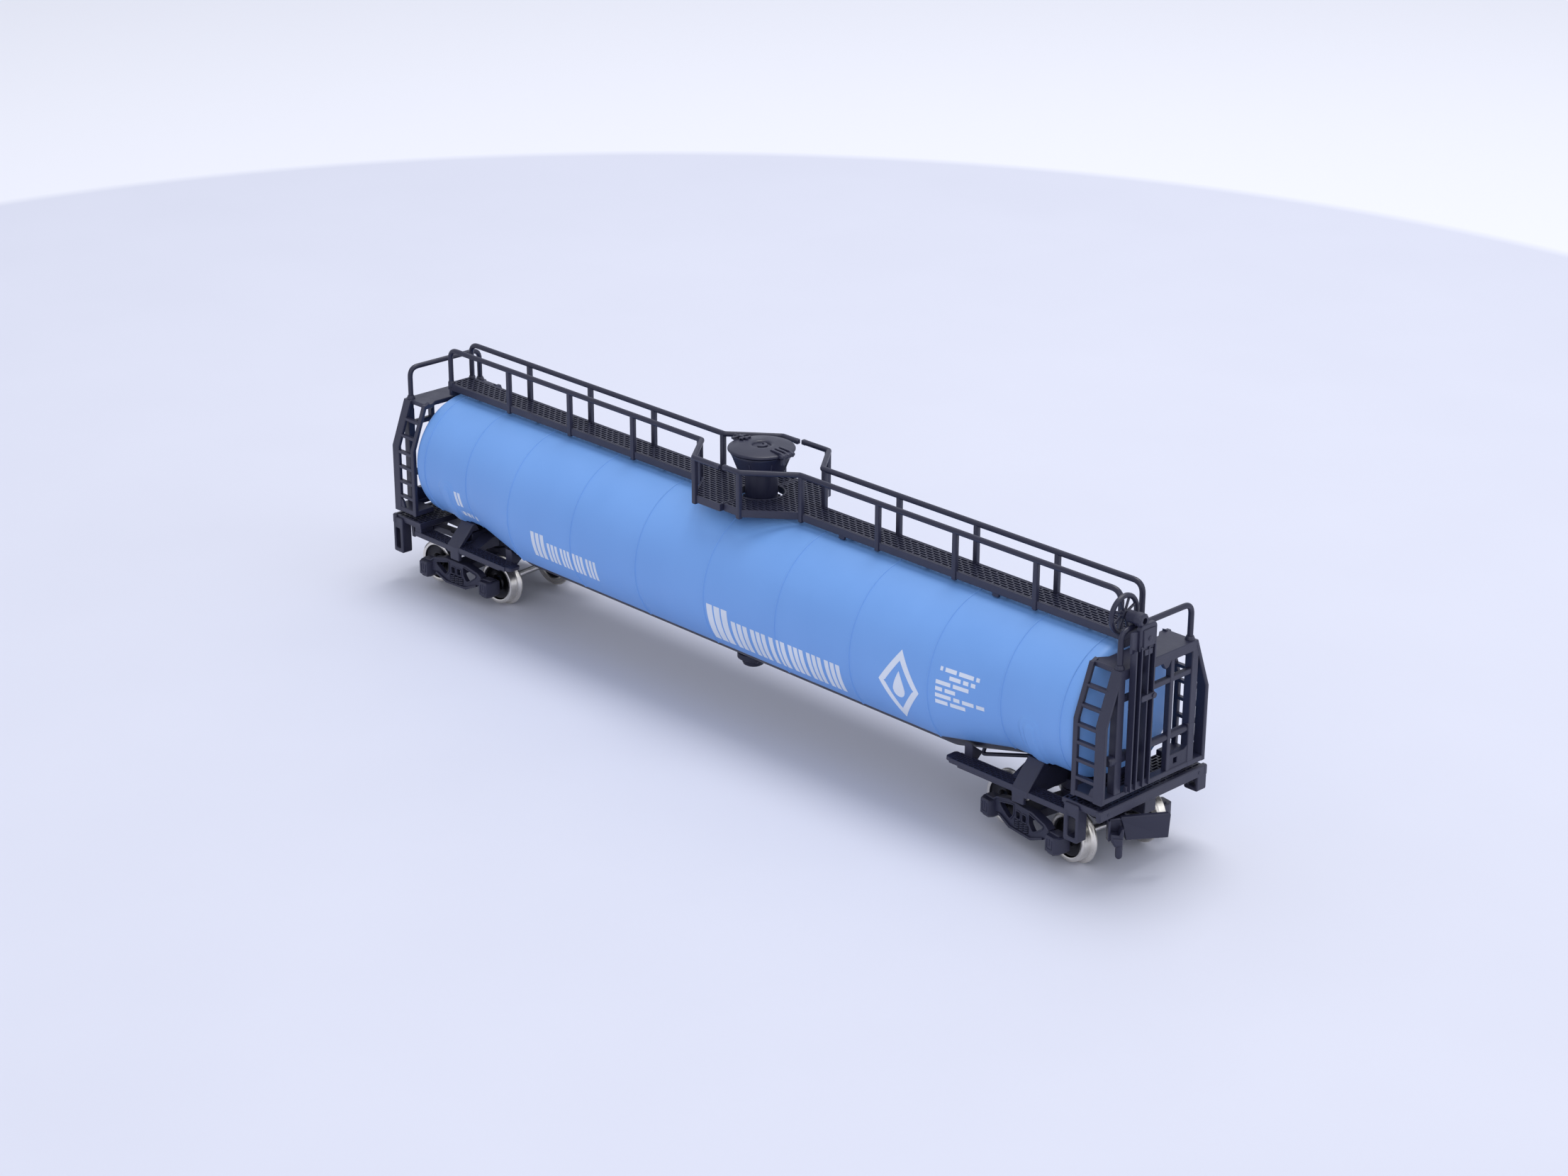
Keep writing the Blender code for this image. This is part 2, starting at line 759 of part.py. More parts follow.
def make_underframes():
    inboard, corner = (96.3, 99.8, 7.4), (101.7, 105.0, 6.7)
    stirrups = {"a": {-1: inboard, 1: corner}, "b": {-1: inboard, 1: (*corner[:2], 10.5)}}
    for end, spots in stirrups.items():
        kingpin_hole = drum((TRUCK_X, 0, 5), (TRUCK_X, 0, 13.2), KINGPIN_RADIUS + 0.2)
        frame = solid([saddle()] + underframe_pieces(spots), BLACK, cut=[kingpin_hole])
        place(f"end_underframe_{end}", frame, turn=HALF_TURN[end])


# ---------------------------------------------------------------- trucks and couplers


def side_frame_pieces(side):
    """One side frame in the truck's own plane, with its two journal boxes."""
    half = [
        (0, 3.4),
        (3.1, 3.4),
        (6.4, 4.9),
        (8.4, 4.8),
        (10.9, 4.8),
        (10.9, JOURNAL_TOP),
        (8.2, JOURNAL_TOP),
        (7.2, 7.9),
        (3.4, 9.0),
        (0, 9.0),
    ]
    outline = half + [(-x, z) for x, z in reversed(half[1:-1])]
    window = [(2.7, 8.3), (6.6, 7.4), (3.8, 5.4)]
    holes = [window, [(-x, z) for x, z in window]]
    pieces = [plate("XZ", outline, side * 11.7, side * SIDE_FRAME_Y, holes=holes)]
    for centre in (-HALF_WHEELBASE, HALF_WHEELBASE):
        box = [
            (centre - 1.8, 10.8),
            (centre + 1.8, 10.8),
            (centre + 1.8, SIDE_FRAME_Y),
            (centre + 1.1, SIDE_FRAME_Y + 1.1),
            (centre - 1.1, SIDE_FRAME_Y + 1.1),
            (centre - 1.8, SIDE_FRAME_Y),
        ]
        pieces.append(plate("XY", [(x, side * y) for x, y in box], 2.9, JOURNAL_TOP))
    springs = [(-2.2, 3.4), (2.2, 3.4), (2.2, 5.8), (-2.2, 5.8)]
    pieces.append(plate("XZ", springs, side * 12, side * 13.7))
    return pieces


def truck_frame():
    """Two side frames on a bolster, with the tongue that carries the coupler."""
    pieces = [
        block((-2.2, -12.2, 6.4), (2.2, 12.2, 8.4)),
        drum((0, 0, 7), (0, 0, 9.6), 2.9),
        block((1.5, -2.6, 6.9), (13.4, 2.6, 7.4)),
        block((9.4, -2.6, 7.0), (10.1, 2.6, 9.25)),
    ]
    cuts = [drum((0, 0, 5), (0, 0, 11), KINGPIN_RADIUS + 0.3)]
    for side in (-1, 1):
        pieces += side_frame_pieces(side)
        for x in (-HALF_WHEELBASE, HALF_WHEELBASE):
            mouth = (x, side * 10, AXLE_HEIGHT)
            bottom = (x, side * (JOURNAL_END + 0.2), AXLE_HEIGHT)
            cuts.append(drum(mouth, bottom, 0.8, sides=12))
    return solid(pieces, BLACK, cut=cuts)


def coupler_cover():
    """The lid of the coupler pocket, with the post that the coupler swings on."""
    lid = block((9.4, -2.6, 9.35), (13.4, 2.6, 9.6))
    post = drum((COUPLER_PIVOT, 0, 7.5), (COUPLER_PIVOT, 0, 9.5), 0.75, sides=14)
    return solid([lid, post], BLACK)


def coupler():
    """A hook coupler: an eye on its post, a shank, a flat front plate and the hook beside it."""
    front = [(-1.3, 7.8), (6.9, 7.7), (7.2, 12.4), (-2.3, 12.4), (-2.0, 11.5)]
    jaw = [(-4.4, 8.6), (-3.7, 7.3), (-2.1, 7.3), (-2.0, 10.8), (-2.6, 9.4), (-4.4, 9.6)]
    pieces = [
        drum((0, 0, 7.55), (0, 0, 9.2), 1.6, sides=18),
        block((0.8, -1.05, 7.55), (8.8, 1.05, 9.2)),
        block((7.4, -1.05, 8.0), (8.8, 1.05, 12.0)),
        plate("YZ", front, 8.4, 9.4),
        block((8.4, -4.7, 8.4), (9.1, -1.2, 12.4)),
        block((8.7, -4.8, 8.0), (10.0, -4.2, 12.4)),
        plate("YZ", jaw, 8.9, 11.0),
        drum((10.2, -2.6, 4.7), (10.2, -2.6, 8.4), 0.68, sides=12),
    ]
    return solid(pieces, BLACK, cut=[drum((0, 0, 7), (0, 0, 10), 0.95, sides=14)])


def axle():
    thick = drum((0, -10.3, 0), (0, 10.3, 0), 0.75, sides=12)
    journals = drum((0, -JOURNAL_END, 0), (0, JOURNAL_END, 0), 0.45, sides=12)
    return solid([thick, journals], STEEL)


def kingpin():
    shank = drum((0, 0, 5.6), (0, 0, 13.0), KINGPIN_RADIUS)
    head = drum((0, 0, 5.3), (0, 0, 6.2), 2.0, sides=20)
    return solid([shank, head], STEEL)


def wheel():
    """One wheel, turned about Y, with its face at +Y."""
    back = BACK_TO_BACK / 2
    flange = back + FLANGE_THICK
    profile = [
        (WHEEL_BORE, back),
        (FLANGE_RADIUS - 0.4, back),
        (FLANGE_RADIUS, back + 0.3),
        (TREAD_RADIUS + 0.15, flange + 0.1),
        (TREAD_RADIUS, flange + 0.4),
        (TREAD_RADIUS - 0.1, TREAD_OUTER_Y),
        (3.9, TREAD_OUTER_Y),
        (3.6, TREAD_OUTER_Y - 0.5),
        (WHEEL_BORE, TREAD_OUTER_Y - 0.5),
        (WHEEL_BORE, back),
    ]
    mesh = bmesh.new()
    verts = [mesh.verts.new((radius, y, 0)) for radius, y in profile]
    edges = [mesh.edges.new(pair) for pair in zip(verts, verts[1:])]
    bmesh.ops.spin(
        mesh,
        geom=verts + edges,
        cent=(0, 0, 0),
        axis=(0, 1, 0),
        angle=math.tau,
        steps=WHEEL_STEPS,
        use_merge=True,
    )
    bmesh.ops.remove_doubles(mesh, verts=mesh.verts, dist=1e-4)
    return solid([shape_from(mesh)], NICKEL)


def make_trucks():
    frame, cover, hook, pin = truck_frame(), coupler_cover(), coupler(), kingpin()
    bar, disc = axle(), wheel()
    for end in "ab":
        x = TRUCK_X if end == "b" else -TRUCK_X
        centre = pivot(f"truck_{end}_pivot", (x, 0, 0), TRUCK_TURN[end] + HALF_TURN[end])
        place(f"truck_frame_{end}", frame, centre)
        place(f"coupler_cover_{end}", cover, centre)
        place(f"kingpin_{end}", pin, location=(x, 0, 0))
        swing = pivot(f"coupler_{end}_pivot", (COUPLER_PIVOT, 0, 0), COUPLER_TURN[end], centre)
        place(f"coupler_{end}", hook, swing)
        for number, along in ((1, HALF_WHEELBASE), (2, -HALF_WHEELBASE)):
            spin = pivot(f"axle_{end}{number}_pivot", (along, 0, AXLE_HEIGHT), 0, centre)
            place(f"axle_{end}{number}", bar, spin)
            place(f"wheel_{end}{number}_left", disc, spin)
            place(f"wheel_{end}{number}_right", disc, spin, turn=180)


make_tank()
make_outlets()
make_ballast()
make_walkway()
make_manway()
make_end_frames()
make_hand_brake()
make_underframes()
make_trucks()
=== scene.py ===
"""The looks of the model tank wagon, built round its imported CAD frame.

Sizes are in millimetres in the row frame, or in the frame of the truck, coupler or wheelset that a piece
belongs to, and Part.finish turns them into metres.
"""

import json
import math
from itertools import product

import bmesh
import bpy
from mathutils import Matrix, Vector
from mathutils.geometry import tessellate_polygon


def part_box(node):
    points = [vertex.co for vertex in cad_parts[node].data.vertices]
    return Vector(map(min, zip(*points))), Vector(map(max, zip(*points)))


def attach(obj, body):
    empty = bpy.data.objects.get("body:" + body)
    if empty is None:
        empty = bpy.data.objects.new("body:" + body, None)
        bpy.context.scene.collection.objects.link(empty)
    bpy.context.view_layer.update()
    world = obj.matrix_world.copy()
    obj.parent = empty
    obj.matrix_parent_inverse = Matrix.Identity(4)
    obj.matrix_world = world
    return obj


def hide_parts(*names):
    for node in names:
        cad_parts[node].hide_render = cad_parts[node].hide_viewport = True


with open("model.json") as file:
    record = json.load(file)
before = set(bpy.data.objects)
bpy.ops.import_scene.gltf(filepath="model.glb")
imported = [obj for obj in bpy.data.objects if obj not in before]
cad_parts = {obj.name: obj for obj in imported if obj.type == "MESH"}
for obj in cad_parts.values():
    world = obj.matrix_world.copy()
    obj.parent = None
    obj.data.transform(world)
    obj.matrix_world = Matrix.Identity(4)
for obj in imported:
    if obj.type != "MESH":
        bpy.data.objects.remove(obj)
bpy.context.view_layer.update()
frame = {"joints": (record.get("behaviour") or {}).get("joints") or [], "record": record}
MM = 0.001
JOINTS = {joint["name"]: joint for joint in frame["joints"]}
SPOTS = {name: Vector(joint["pos_m"]) / MM for name, joint in JOINTS.items()}
MOUNTS = {mount["name"]: mount for mount in frame["record"]["mounts"]}

# ---- materials


class Paint:
    """A material whose nodes are added one at a time."""

    def __init__(self, name, roughness, metallic=0.0):
        self.material = bpy.data.materials.new(name)
        self.material.use_nodes = True
        self.tree = self.material.node_tree
        self.shader = self.tree.nodes["Principled BSDF"]
        self.shader.inputs["Roughness"].default_value = roughness
        self.shader.inputs["Metallic"].default_value = metallic
        self.place = self.node("ShaderNodeTexCoord").outputs["Object"]

    def node(self, kind, **values):
        made = self.tree.nodes.new(kind)
        for key, value in values.items():
            if key in made.inputs:
                made.inputs[key].default_value = value
            else:
                setattr(made, key, value)
        return made

    def link(self, source, target):
        self.tree.links.new(source, target)

    def noise(self, size, detail=3.0, stretch=None, source=None):
        """Noise whose features are about size millimetres wide."""
        made = self.node("ShaderNodeTexNoise", Scale=1 / (size * MM), Detail=detail)
        place = source or self.place
        if stretch:
            mapping = self.node("ShaderNodeMapping")
            mapping.inputs["Scale"].default_value = stretch
            self.link(place, mapping.inputs["Vector"])
            place = mapping.outputs["Vector"]
        self.link(place, made.inputs["Vector"])
        return made.outputs["Fac"]

    def ramp(self, source, stops):
        """A ramp over a number: stops are (position, colour)."""
        made = self.node("ShaderNodeValToRGB")
        band = made.color_ramp
        while len(band.elements) < len(stops):
            band.elements.new(0.5)
        for element, (position, colour) in zip(band.elements, stops):
            element.position = position
            element.color = (*colour, 1.0)
        self.link(source, made.inputs["Fac"])
        return made.outputs["Color"]

    def mix(self, share, first, second):
        made = self.node("ShaderNodeMix", data_type="RGBA")
        sockets = [i for i in made.inputs if i.type == "RGBA"]
        self.link(share, made.inputs["Factor"])
        for socket, value in zip(sockets, (first, second)):
            if isinstance(value, tuple):
                socket.default_value = (*value, 1.0)
            else:
                self.link(value, socket)
        return next(o for o in made.outputs if o.type == "RGBA")

    def spread(self, source, low, high, start=0.3, end=0.7):
        """A number mapped from one range to another."""
        made = self.node("ShaderNodeMapRange")
        for name, value in (("From Min", start), ("From Max", end), ("To Min", low), ("To Max", high)):
            made.inputs[name].default_value = value
        self.link(source, made.inputs["Value"])
        return made.outputs["Result"]

    def colour(self, source):
        self.link(source, self.shader.inputs["Base Color"])

    def rough(self, source):
        self.link(source, self.shader.inputs["Roughness"])

    def bump(self, source, depth, strength=1.0):
        """A bump whose height is depth millimetres."""
        made = self.node("ShaderNodeBump", Strength=strength, Distance=depth * MM)
        self.link(source, made.inputs["Height"])
        self.link(made.outputs["Normal"], self.shader.inputs["Normal"])


def plastic(name, dark, light, rough, grain, speck, edge=None):
    """Moulded plastic: slow colour changes, a fine grain, a few specks of dust, and paler edges, which
    are a painted highlight.
    """
    made = Paint(name, rough[0])
    slow = made.noise(14)
    colour = made.ramp(slow, [(0.3, dark), (0.7, light)])
    # edge is the colour of a painted highlight along sharp edges, which pointiness finds
    if edge:
        painted_highlight_ridge = made.node("ShaderNodeNewGeometry").outputs["Pointiness"]
        colour = made.mix(made.spread(painted_highlight_ridge, 0, 0.55, 0.53, 0.62), colour, edge)
    dust = made.node("ShaderNodeTexVoronoi", Scale=1 / (speck[0] * MM))
    made.link(made.place, dust.inputs["Vector"])
    colour = made.mix(made.spread(dust.outputs["Distance"], 0.55, 0, 0, speck[1]), colour, speck[2])
    made.colour(colour)
    made.rough(made.spread(made.noise(3.5, 4), *rough))
    made.bump(made.noise(0.22, 2), grain)
    return made.material


BLUE = plastic(
    "blue_plastic", (0.158, 0.345, 0.735), (0.172, 0.366, 0.765), (0.42, 0.52), 0.010,
    (5.0, 0.016, (0.55, 0.68, 0.90)),
)
# the black plastic's edge colour is a painted highlight along its sharp edges
BLACK = plastic(
    "black_plastic", (0.0105, 0.0114, 0.0320), (0.0135, 0.0146, 0.0385), (0.34, 0.48), 0.014,
    (3.2, 0.020, (0.14, 0.15, 0.20)), edge=(0.036, 0.037, 0.066),
)
PRINT = plastic(
    "printed_white", (0.62, 0.68, 0.78), (0.76, 0.81, 0.90), (0.45, 0.60), 0.006,
    (0.5, 0.10, (0.30, 0.42, 0.74)),
)


def turned_metal(name, dark, light, rough, centre=None):
    """Plated metal with fine rings from the lathe; the turned attribute is (radius, distance).

    centre is (radius, colour) of a darker middle.
    """
    made = Paint(name, rough[0], 1.0)
    turned = made.node("ShaderNodeAttribute", attribute_name="turned").outputs["Vector"]
    rings = made.noise(0.16, 2, source=turned)
    colour = made.ramp(made.noise(2.2), [(0.3, dark), (0.7, light)])
    if centre:
        split = made.node("ShaderNodeSeparateXYZ")
        made.link(turned, split.inputs["Vector"])
        edge = centre[0] * MM
        share = made.spread(split.outputs["X"], 0, 1, edge * 0.99, edge * 1.01)
        colour = made.mix(share, centre[1], colour)
    made.colour(colour)
    made.rough(made.spread(rings, *rough))
    made.bump(rings, 0.012, 0.8)
    return made.material


NICKEL = turned_metal(
    "nickel_plate", (0.72, 0.68, 0.61), (0.86, 0.82, 0.75), (0.24, 0.38), (3.9, (0.035, 0.034, 0.038)),
)
STEEL = turned_metal("bright_steel", (0.40, 0.39, 0.39), (0.55, 0.54, 0.53), (0.30, 0.45))


# ---- shapes

# which of an outline's two numbers and its distance stands on X, on Y and on Z
PLANES = {"XY": (0, 1, 2), "XZ": (0, 2, 1), "YZ": (2, 0, 1)}


def box(one, two, edge=0.12):
    """A box between two opposite corners, its edges chamfered."""
    lo, hi = (Vector(map(pick, one, two)) for pick in (min, max))
    edge = min(edge, *[(b - a) * 0.3 for a, b in zip(lo, hi)])
    verts, index, faces = [], {}, []
    for corner in product((0, 1), repeat=3):
        for axis in range(3):
            index[corner, axis] = len(verts)
            verts.append(
                Vector(
                    (hi[i] if corner[i] else lo[i])
                    if i == axis else (hi[i] - edge if corner[i] else lo[i] + edge)
                    for i in range(3)
                )
            )

    def corner_of(axis, value, first, second):
        found = [first, second]
        found.insert(axis, value)
        return tuple(found)

    for axis in range(3):
        one, two = [i for i in range(3) if i != axis]
        for value in (0, 1):
            loop = ((0, 0), (1, 0), (1, 1), (0, 1))
            faces.append([index[corner_of(axis, value, *at), axis] for at in loop])
        for at in product((0, 1), repeat=2):
            ends = [corner_of(axis, value, *at) for value in (0, 1)]
            faces.append(
                [index[ends[0], one], index[ends[1], one], index[ends[1], two], index[ends[0], two]]
            )
    for corner in product((0, 1), repeat=3):
        faces.append([index[corner, axis] for axis in range(3)])
    return verts, faces


def plain_box(lo, hi):
    """A box with sharp edges, for the many bars of a grating."""
    verts = [Vector(corner) for corner in product(*zip(lo, hi))]
    return verts, [[0, 1, 3, 2], [4, 6, 7, 5], [0, 4, 5, 1], [2, 3, 7, 6], [0, 2, 6, 4], [1, 5, 7, 3]]


def rect(u0, v0, u1, v1):
    return [(u0, v0), (u1, v0), (u1, v1), (u0, v1)]


def mirrored(half):
    """An outline's half, and then the same points with their first number turned round."""
    return half + [(-u, v) for u, v in reversed(half)]


def area(loop):
    return sum(a[0] * b[1] - b[0] * a[1] for a, b in zip(loop, loop[1:] + loop[:1])) / 2


def offset(loop, distance):
    """A loop moved to its left, which is inward for one that runs anticlockwise."""
    moved = []
    for i, here in enumerate(loop):
        first = (Vector(here) - Vector(loop[i - 1])).normalized()
        second = (Vector(loop[(i + 1) % len(loop)]) - Vector(here)).normalized()
        left = Vector((-first.y - second.y, first.x + second.x)).normalized()
        share = max(left.dot(Vector((-first.y, first.x))), 0.4)
        moved.append(tuple(Vector(here) + left * distance / share))
    return moved


def rounded_loop(loop, radius, steps=3):
    """A closed outline with its corners rounded."""
    made = []
    for i, here in enumerate(loop):
        here = Vector(here)
        back = Vector(loop[i - 1]) - here
        ahead = Vector(loop[(i + 1) % len(loop)]) - here
        reach = min(radius, back.length * 0.45, ahead.length * 0.45)
        start, end = here + back.normalized() * reach, here + ahead.normalized() * reach
        for k in range(steps + 1):
            t = k / steps
            made.append(tuple(start * (1 - t) ** 2 + here * 2 * t * (1 - t) + end * t * t))
    return made


def bridge(rings, closed=False, gap=0):
    """Faces between each ring of vertices and the next; a gap leaves each ring open."""
    faces = []
    pairs = list(zip(rings, rings[1:]))
    if closed:
        pairs.append((rings[-1], rings[0]))
    for ring, after in pairs:
        for i in range(len(ring) - gap):
            j = (i + 1) % len(ring)
            faces.append(list(dict.fromkeys([ring[i], ring[j], after[j], after[i]])))
    return faces


def prism(plane, outline, lo, hi, edge=0.12, holes=()):
    """An outline in a plane, with holes, between two distances, its edges chamfered."""
    lo, hi = sorted((lo, hi))
    edge = min(edge, (hi - lo) * 0.3)
    loops = [list(outline) if area(outline) > 0 else list(reversed(outline))]
    loops += [list(hole) if area(hole) < 0 else list(reversed(hole)) for hole in holes]
    levels = ((lo, edge), (lo + edge, 0), (hi - edge, 0), (hi, edge))
    verts, faces, ends = [], [], ([], [])
    caps = []
    for loop in loops:
        rings = []
        for level, distance in levels:
            ring = offset(loop, distance) if distance else loop
            rings.append(range(len(verts), len(verts) + len(ring)))
            verts += [Vector([(u, v, level)[i] for i in PLANES[plane]]) for u, v in ring]
        faces += bridge(rings)
        ends[0].extend(rings[0])
        ends[1].extend(rings[-1])
        caps.append([Vector((u, v, 0)) for u, v in offset(loop, edge)])
    if len(caps) == 1 and len(caps[0]) <= 4:
        faces += [list(ends[0]), list(ends[1])]
    else:
        triangles = tessellate_polygon(caps)
        for end in ends:
            faces += [[end[i] for i in triangle] for triangle in triangles]
    return verts, faces


def turned(profile, start=(0, 0, 0), along=(0, 0, 1), sides=24, closed=False):
    """A turned form: (radius, distance) points about an axis; an open profile is led to the axis."""
    if not closed:
        ends = [(0, profile[i][1]) for i in (0, -1)]
        profile = list(dict.fromkeys([ends[0], *profile, ends[1]]))
    start, axis = Vector(start), Vector(along).normalized()
    first = axis.orthogonal().normalized()
    second = axis.cross(first)
    verts, rings = [], []
    for radius, distance in profile:
        centre = start + axis * distance
        if radius < 1e-6:
            rings.append([len(verts)] * sides)
            verts.append(centre)
            continue
        rings.append(list(range(len(verts), len(verts) + sides)))
        for i in range(sides):
            angle = math.tau * i / sides
            verts.append(centre + (first * math.cos(angle) + second * math.sin(angle)) * radius)
    return verts, bridge(rings, closed)


def drum(start, end, radius, edge=0.12, sides=20):
    """A round bar with chamfered ends."""
    start, end = Vector(start), Vector(end)
    length = (end - start).length
    profile = [
        (0, 0), (radius - edge, 0), (radius, edge), (radius, length - edge), (radius - edge, length),
        (0, length),
    ]
    return turned(profile, start, end - start, sides)


def tube(points, radius, sides=12, closed=False, cap=0.3):
    """A round rod along a path, mitred at each point, with softened ends."""
    points = [Vector(p) for p in points]
    if not closed:
        ends = []
        for tip, inner in ((points[0], points[1]), (points[-1], points[-2])):
            ends.append(tip + (inner - tip).normalized() * radius * cap)
        scales = [1 - cap] + [1] * len(points) + [1 - cap]
        points = [points[0], ends[0]] + points[1:-1] + [ends[1], points[-1]]
    else:
        scales = [1] * len(points)
    count = len(points)
    steps = [(points[(i + 1) % count] - points[i]).normalized() for i in range(count)]
    side = steps[0].orthogonal().normalized()
    verts, rings = [], []
    for i, point in enumerate(points):
        into = steps[i - 1] if closed or i else steps[0]
        out = steps[i] if closed or i < count - 1 else steps[i - 1]
        side = (side - into * side.dot(into)).normalized()
        other = into.cross(side)
        plane = (into + out).normalized()
        ring = []
        for k in range(sides):
            angle = math.tau * k / sides
            reach = (side * math.cos(angle) + other * math.sin(angle)) * radius * scales[i]
            ring.append(len(verts))
            verts.append(point + reach - into * reach.dot(plane) / into.dot(plane))
        rings.append(ring)
        side = into.rotation_difference(out) @ side
    return verts, bridge(rings, closed) + ([] if closed else [rings[0], rings[-1]])


def bent(points, radius, steps=5):
    """A path whose inner corners are bends."""
    path = [Vector(points[0])]
    for before, corner, after in zip(points, points[1:], points[2:]):
        before, corner, after = Vector(before), Vector(corner), Vector(after)
        start = corner + (before - corner).normalized() * radius
        end = corner + (after - corner).normalized() * radius
        for k in range(steps + 1):
            t = k / steps
            path.append(start * (1 - t) ** 2 + corner * 2 * t * (1 - t) + end * t * t)
    path.append(Vector(points[-1]))
    return path


def arc(centre, radius, start, end, steps):
    angles = [math.radians(start + (end - start) * i / steps) for i in range(steps + 1)]
    return [(centre[0] + radius * math.cos(a), centre[1] + radius * math.sin(a)) for a in angles]


def adding(shape):
    """A method of Part that makes a shape and adds it."""

    def method(self, *values, move=None, **options):
        return self.add(shape(*values, **options), move=move)

    return method


class Part:
    """The mesh of one piece, gathered in a frame of its own."""

    box, prism, turned, drum, tube = map(adding, (box, prism, turned, drum, tube))

    def __init__(self, place=None):
        self.place = place or Matrix.Identity(4)
        self.verts, self.faces = [], []

    @property
    def shape(self):
        return self.verts, self.faces

    def add(self, *shapes, move=None):
        for verts, faces in shapes:
            first = len(self.verts)
            self.verts += [move @ v for v in verts] if move else verts
            self.faces += [[first + i for i in face] for face in faces]
        return self

    def grating(self, outline, top, bottom, pitch, turn=False, bar=0.26, slot=1.9, cross=0.32):
        """Long bars with short cross bars between them, laid like bricks, inside an outline."""
        loop = [(v, u) for u, v in outline] if turn else list(outline)
        low, high = min(v for _, v in loop), max(v for _, v in loop)
        rows = max(round((high - low) / pitch), 1)
        pitch = (high - low) / rows

        def stretches(level):
            hits = []
            for (u0, v0), (u1, v1) in zip(loop, loop[1:] + loop[:1]):
                if (v0 > level) != (v1 > level):
                    hits.append(u0 + (u1 - u0) * (level - v0) / (v1 - v0))
            hits.sort()
            return list(zip(hits[::2], hits[1::2]))

        def lay(u0, v0, u1, v1, trim):
            lo, hi = ((v0, u0), (v1, u1)) if turn else ((u0, v0), (u1, v1))
            self.add(plain_box((*lo, bottom + trim), (*hi, top - trim)))

        for k in range(rows + 1):
            level = min(max(low + k * pitch, low + 0.01), high - 0.01)
            for u0, u1 in stretches(level):
                lay(u0, level - bar / 2, u1, level + bar / 2, 0)
        for k in range(rows):
            middle = low + (k + 0.5) * pitch
            shift = slot / 2 if k % 2 else 0
            for u0, u1 in stretches(middle):
                first = math.ceil((u0 - shift) / slot)
                last = math.floor((u1 - shift) / slot)
                for i in range(first, last + 1):
                    u = i * slot + shift
                    lay(
                        u - cross / 2, middle - pitch / 2 + bar * 0.4, u + cross / 2,
                        middle + pitch / 2 - bar * 0.4, 0.03,
                    )
        return self

    def rim(self, outline, top, bottom, width, edge=0.1):
        """A wall of some width along the inside of an outline."""
        loop = outline if area(outline) > 0 else list(reversed(outline))
        return self.add(prism("XY", loop, bottom, top, edge, holes=[offset(loop, width)]))

    def finish(self, name, body, nodes, slot, material, angle=36, axis=None):
        """The piece itself: it rides on a body and stands for some CAD nodes.

        axis is the lathe's direction through the part's own origin, for turned metal.
        """
        data = bpy.data.meshes.new(name)
        data.from_pydata([(self.place @ v) * MM for v in self.verts], [], self.faces)
        mesh = bmesh.new()
        mesh.from_mesh(data)
        bmesh.ops.recalc_face_normals(mesh, faces=mesh.faces)
        mesh.to_mesh(data)
        mesh.free()
        data.materials.append(material)
        data.shade_smooth()
        data.set_sharp_from_angle(angle=math.radians(angle))
        if axis:
            along = Vector(axis)
            layer = data.attributes.new("turned", "FLOAT_VECTOR", "POINT")
            for value, vert in zip(layer.data, self.verts):
                distance = vert.dot(along)
                radius = (vert - along * distance).length
                value.vector = (radius * MM, distance * MM, 0)
        piece = bpy.data.objects.new(name, data)
        bpy.context.scene.collection.objects.link(piece)
        shading = piece.modifiers.new("shading", "WEIGHTED_NORMAL")
        shading.keep_sharp = True
        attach(piece, body)
        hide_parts(*nodes)
        return piece


def sided(side, outline):
    """An outline in Y and Z on one side of the wagon."""
    return [(side * y, z) for y, z in outline]


def black(part, node, body="wagon_body", **options):
    return part.finish(f"{node}_shape", body, [node], "moulded_black", BLACK, **options)


ENDS = {"a": Matrix.Rotation(math.pi, 4, "Z"), "b": Matrix.Identity(4)}


def steel(part, node, axis, body="wagon_body"):
    return part.finish(f"{node}_shape", body, [node], "steel", STEEL, axis=axis)


def black_pair(shape, node):
    """The same moulding at both ends, turned half a circle."""
    for end, turn in ENDS.items():
        black(Part(turn).add(shape), f"{node}_{end}")


# ---- tank

TANK_TOP = 43.0
BELLY_RADIUS, END_RADIUS = 16.3, 14.3
CONE_START, CONE_END = 62.4, 79.2
HEAD_START, HEAD_DEPTH = 95.3, 3.9
BELLY_JOINT, END_JOINT = 15.6, 18.0
SEAMS = (0, 20.8, 41.6, CONE_START, CONE_END, 93.7)
SEAM_HEIGHT = 0.17
SEAM_SHAPE = ((-0.2, 0), (-0.13, 0.8), (-0.06, 1), (0.06, 1), (0.13, 0.8), (0.2, 0))
TRUCK_X = JOINTS["truck_b_swivel"]["pos_m"][0] / MM


def smooth(x, low, high):
    t = min(max((x - low) / (high - low), 0), 1)
    return t * t * (3 - 2 * t)


def tank_section(x):
    """Radius and centre height of the tank at x, and the height of its lower seam."""
    along = abs(x)
    share = min(max((along - CONE_START) / (CONE_END - CONE_START), 0), 1)
    radius = BELLY_RADIUS + (END_RADIUS - BELLY_RADIUS) * share
    centre = TANK_TOP - radius
    if along > HEAD_START:
        depth = min((along - HEAD_START) / HEAD_DEPTH, 1)
        radius *= (1 - depth**3) ** 0.45
    return radius, centre, BELLY_JOINT + (END_JOINT - BELLY_JOINT) * share


def seam_lift(x):
    for seam in SEAMS:
        away = abs(x) - seam
        for (x0, h0), (x1, h1) in zip(SEAM_SHAPE, SEAM_SHAPE[1:]):
            if x0 <= away <= x1:
                return SEAM_HEIGHT * (h0 + (h1 - h0) * (away - x0) / (x1 - x0))
    return 0.0


def bullet(x, z, half, top, soft):
    """How far a point lies inside an upright form with a round top, from 0 to 1."""
    reach = half - math.hypot(x, max(z - (top - half), 0))
    return smooth(reach, 0, soft)


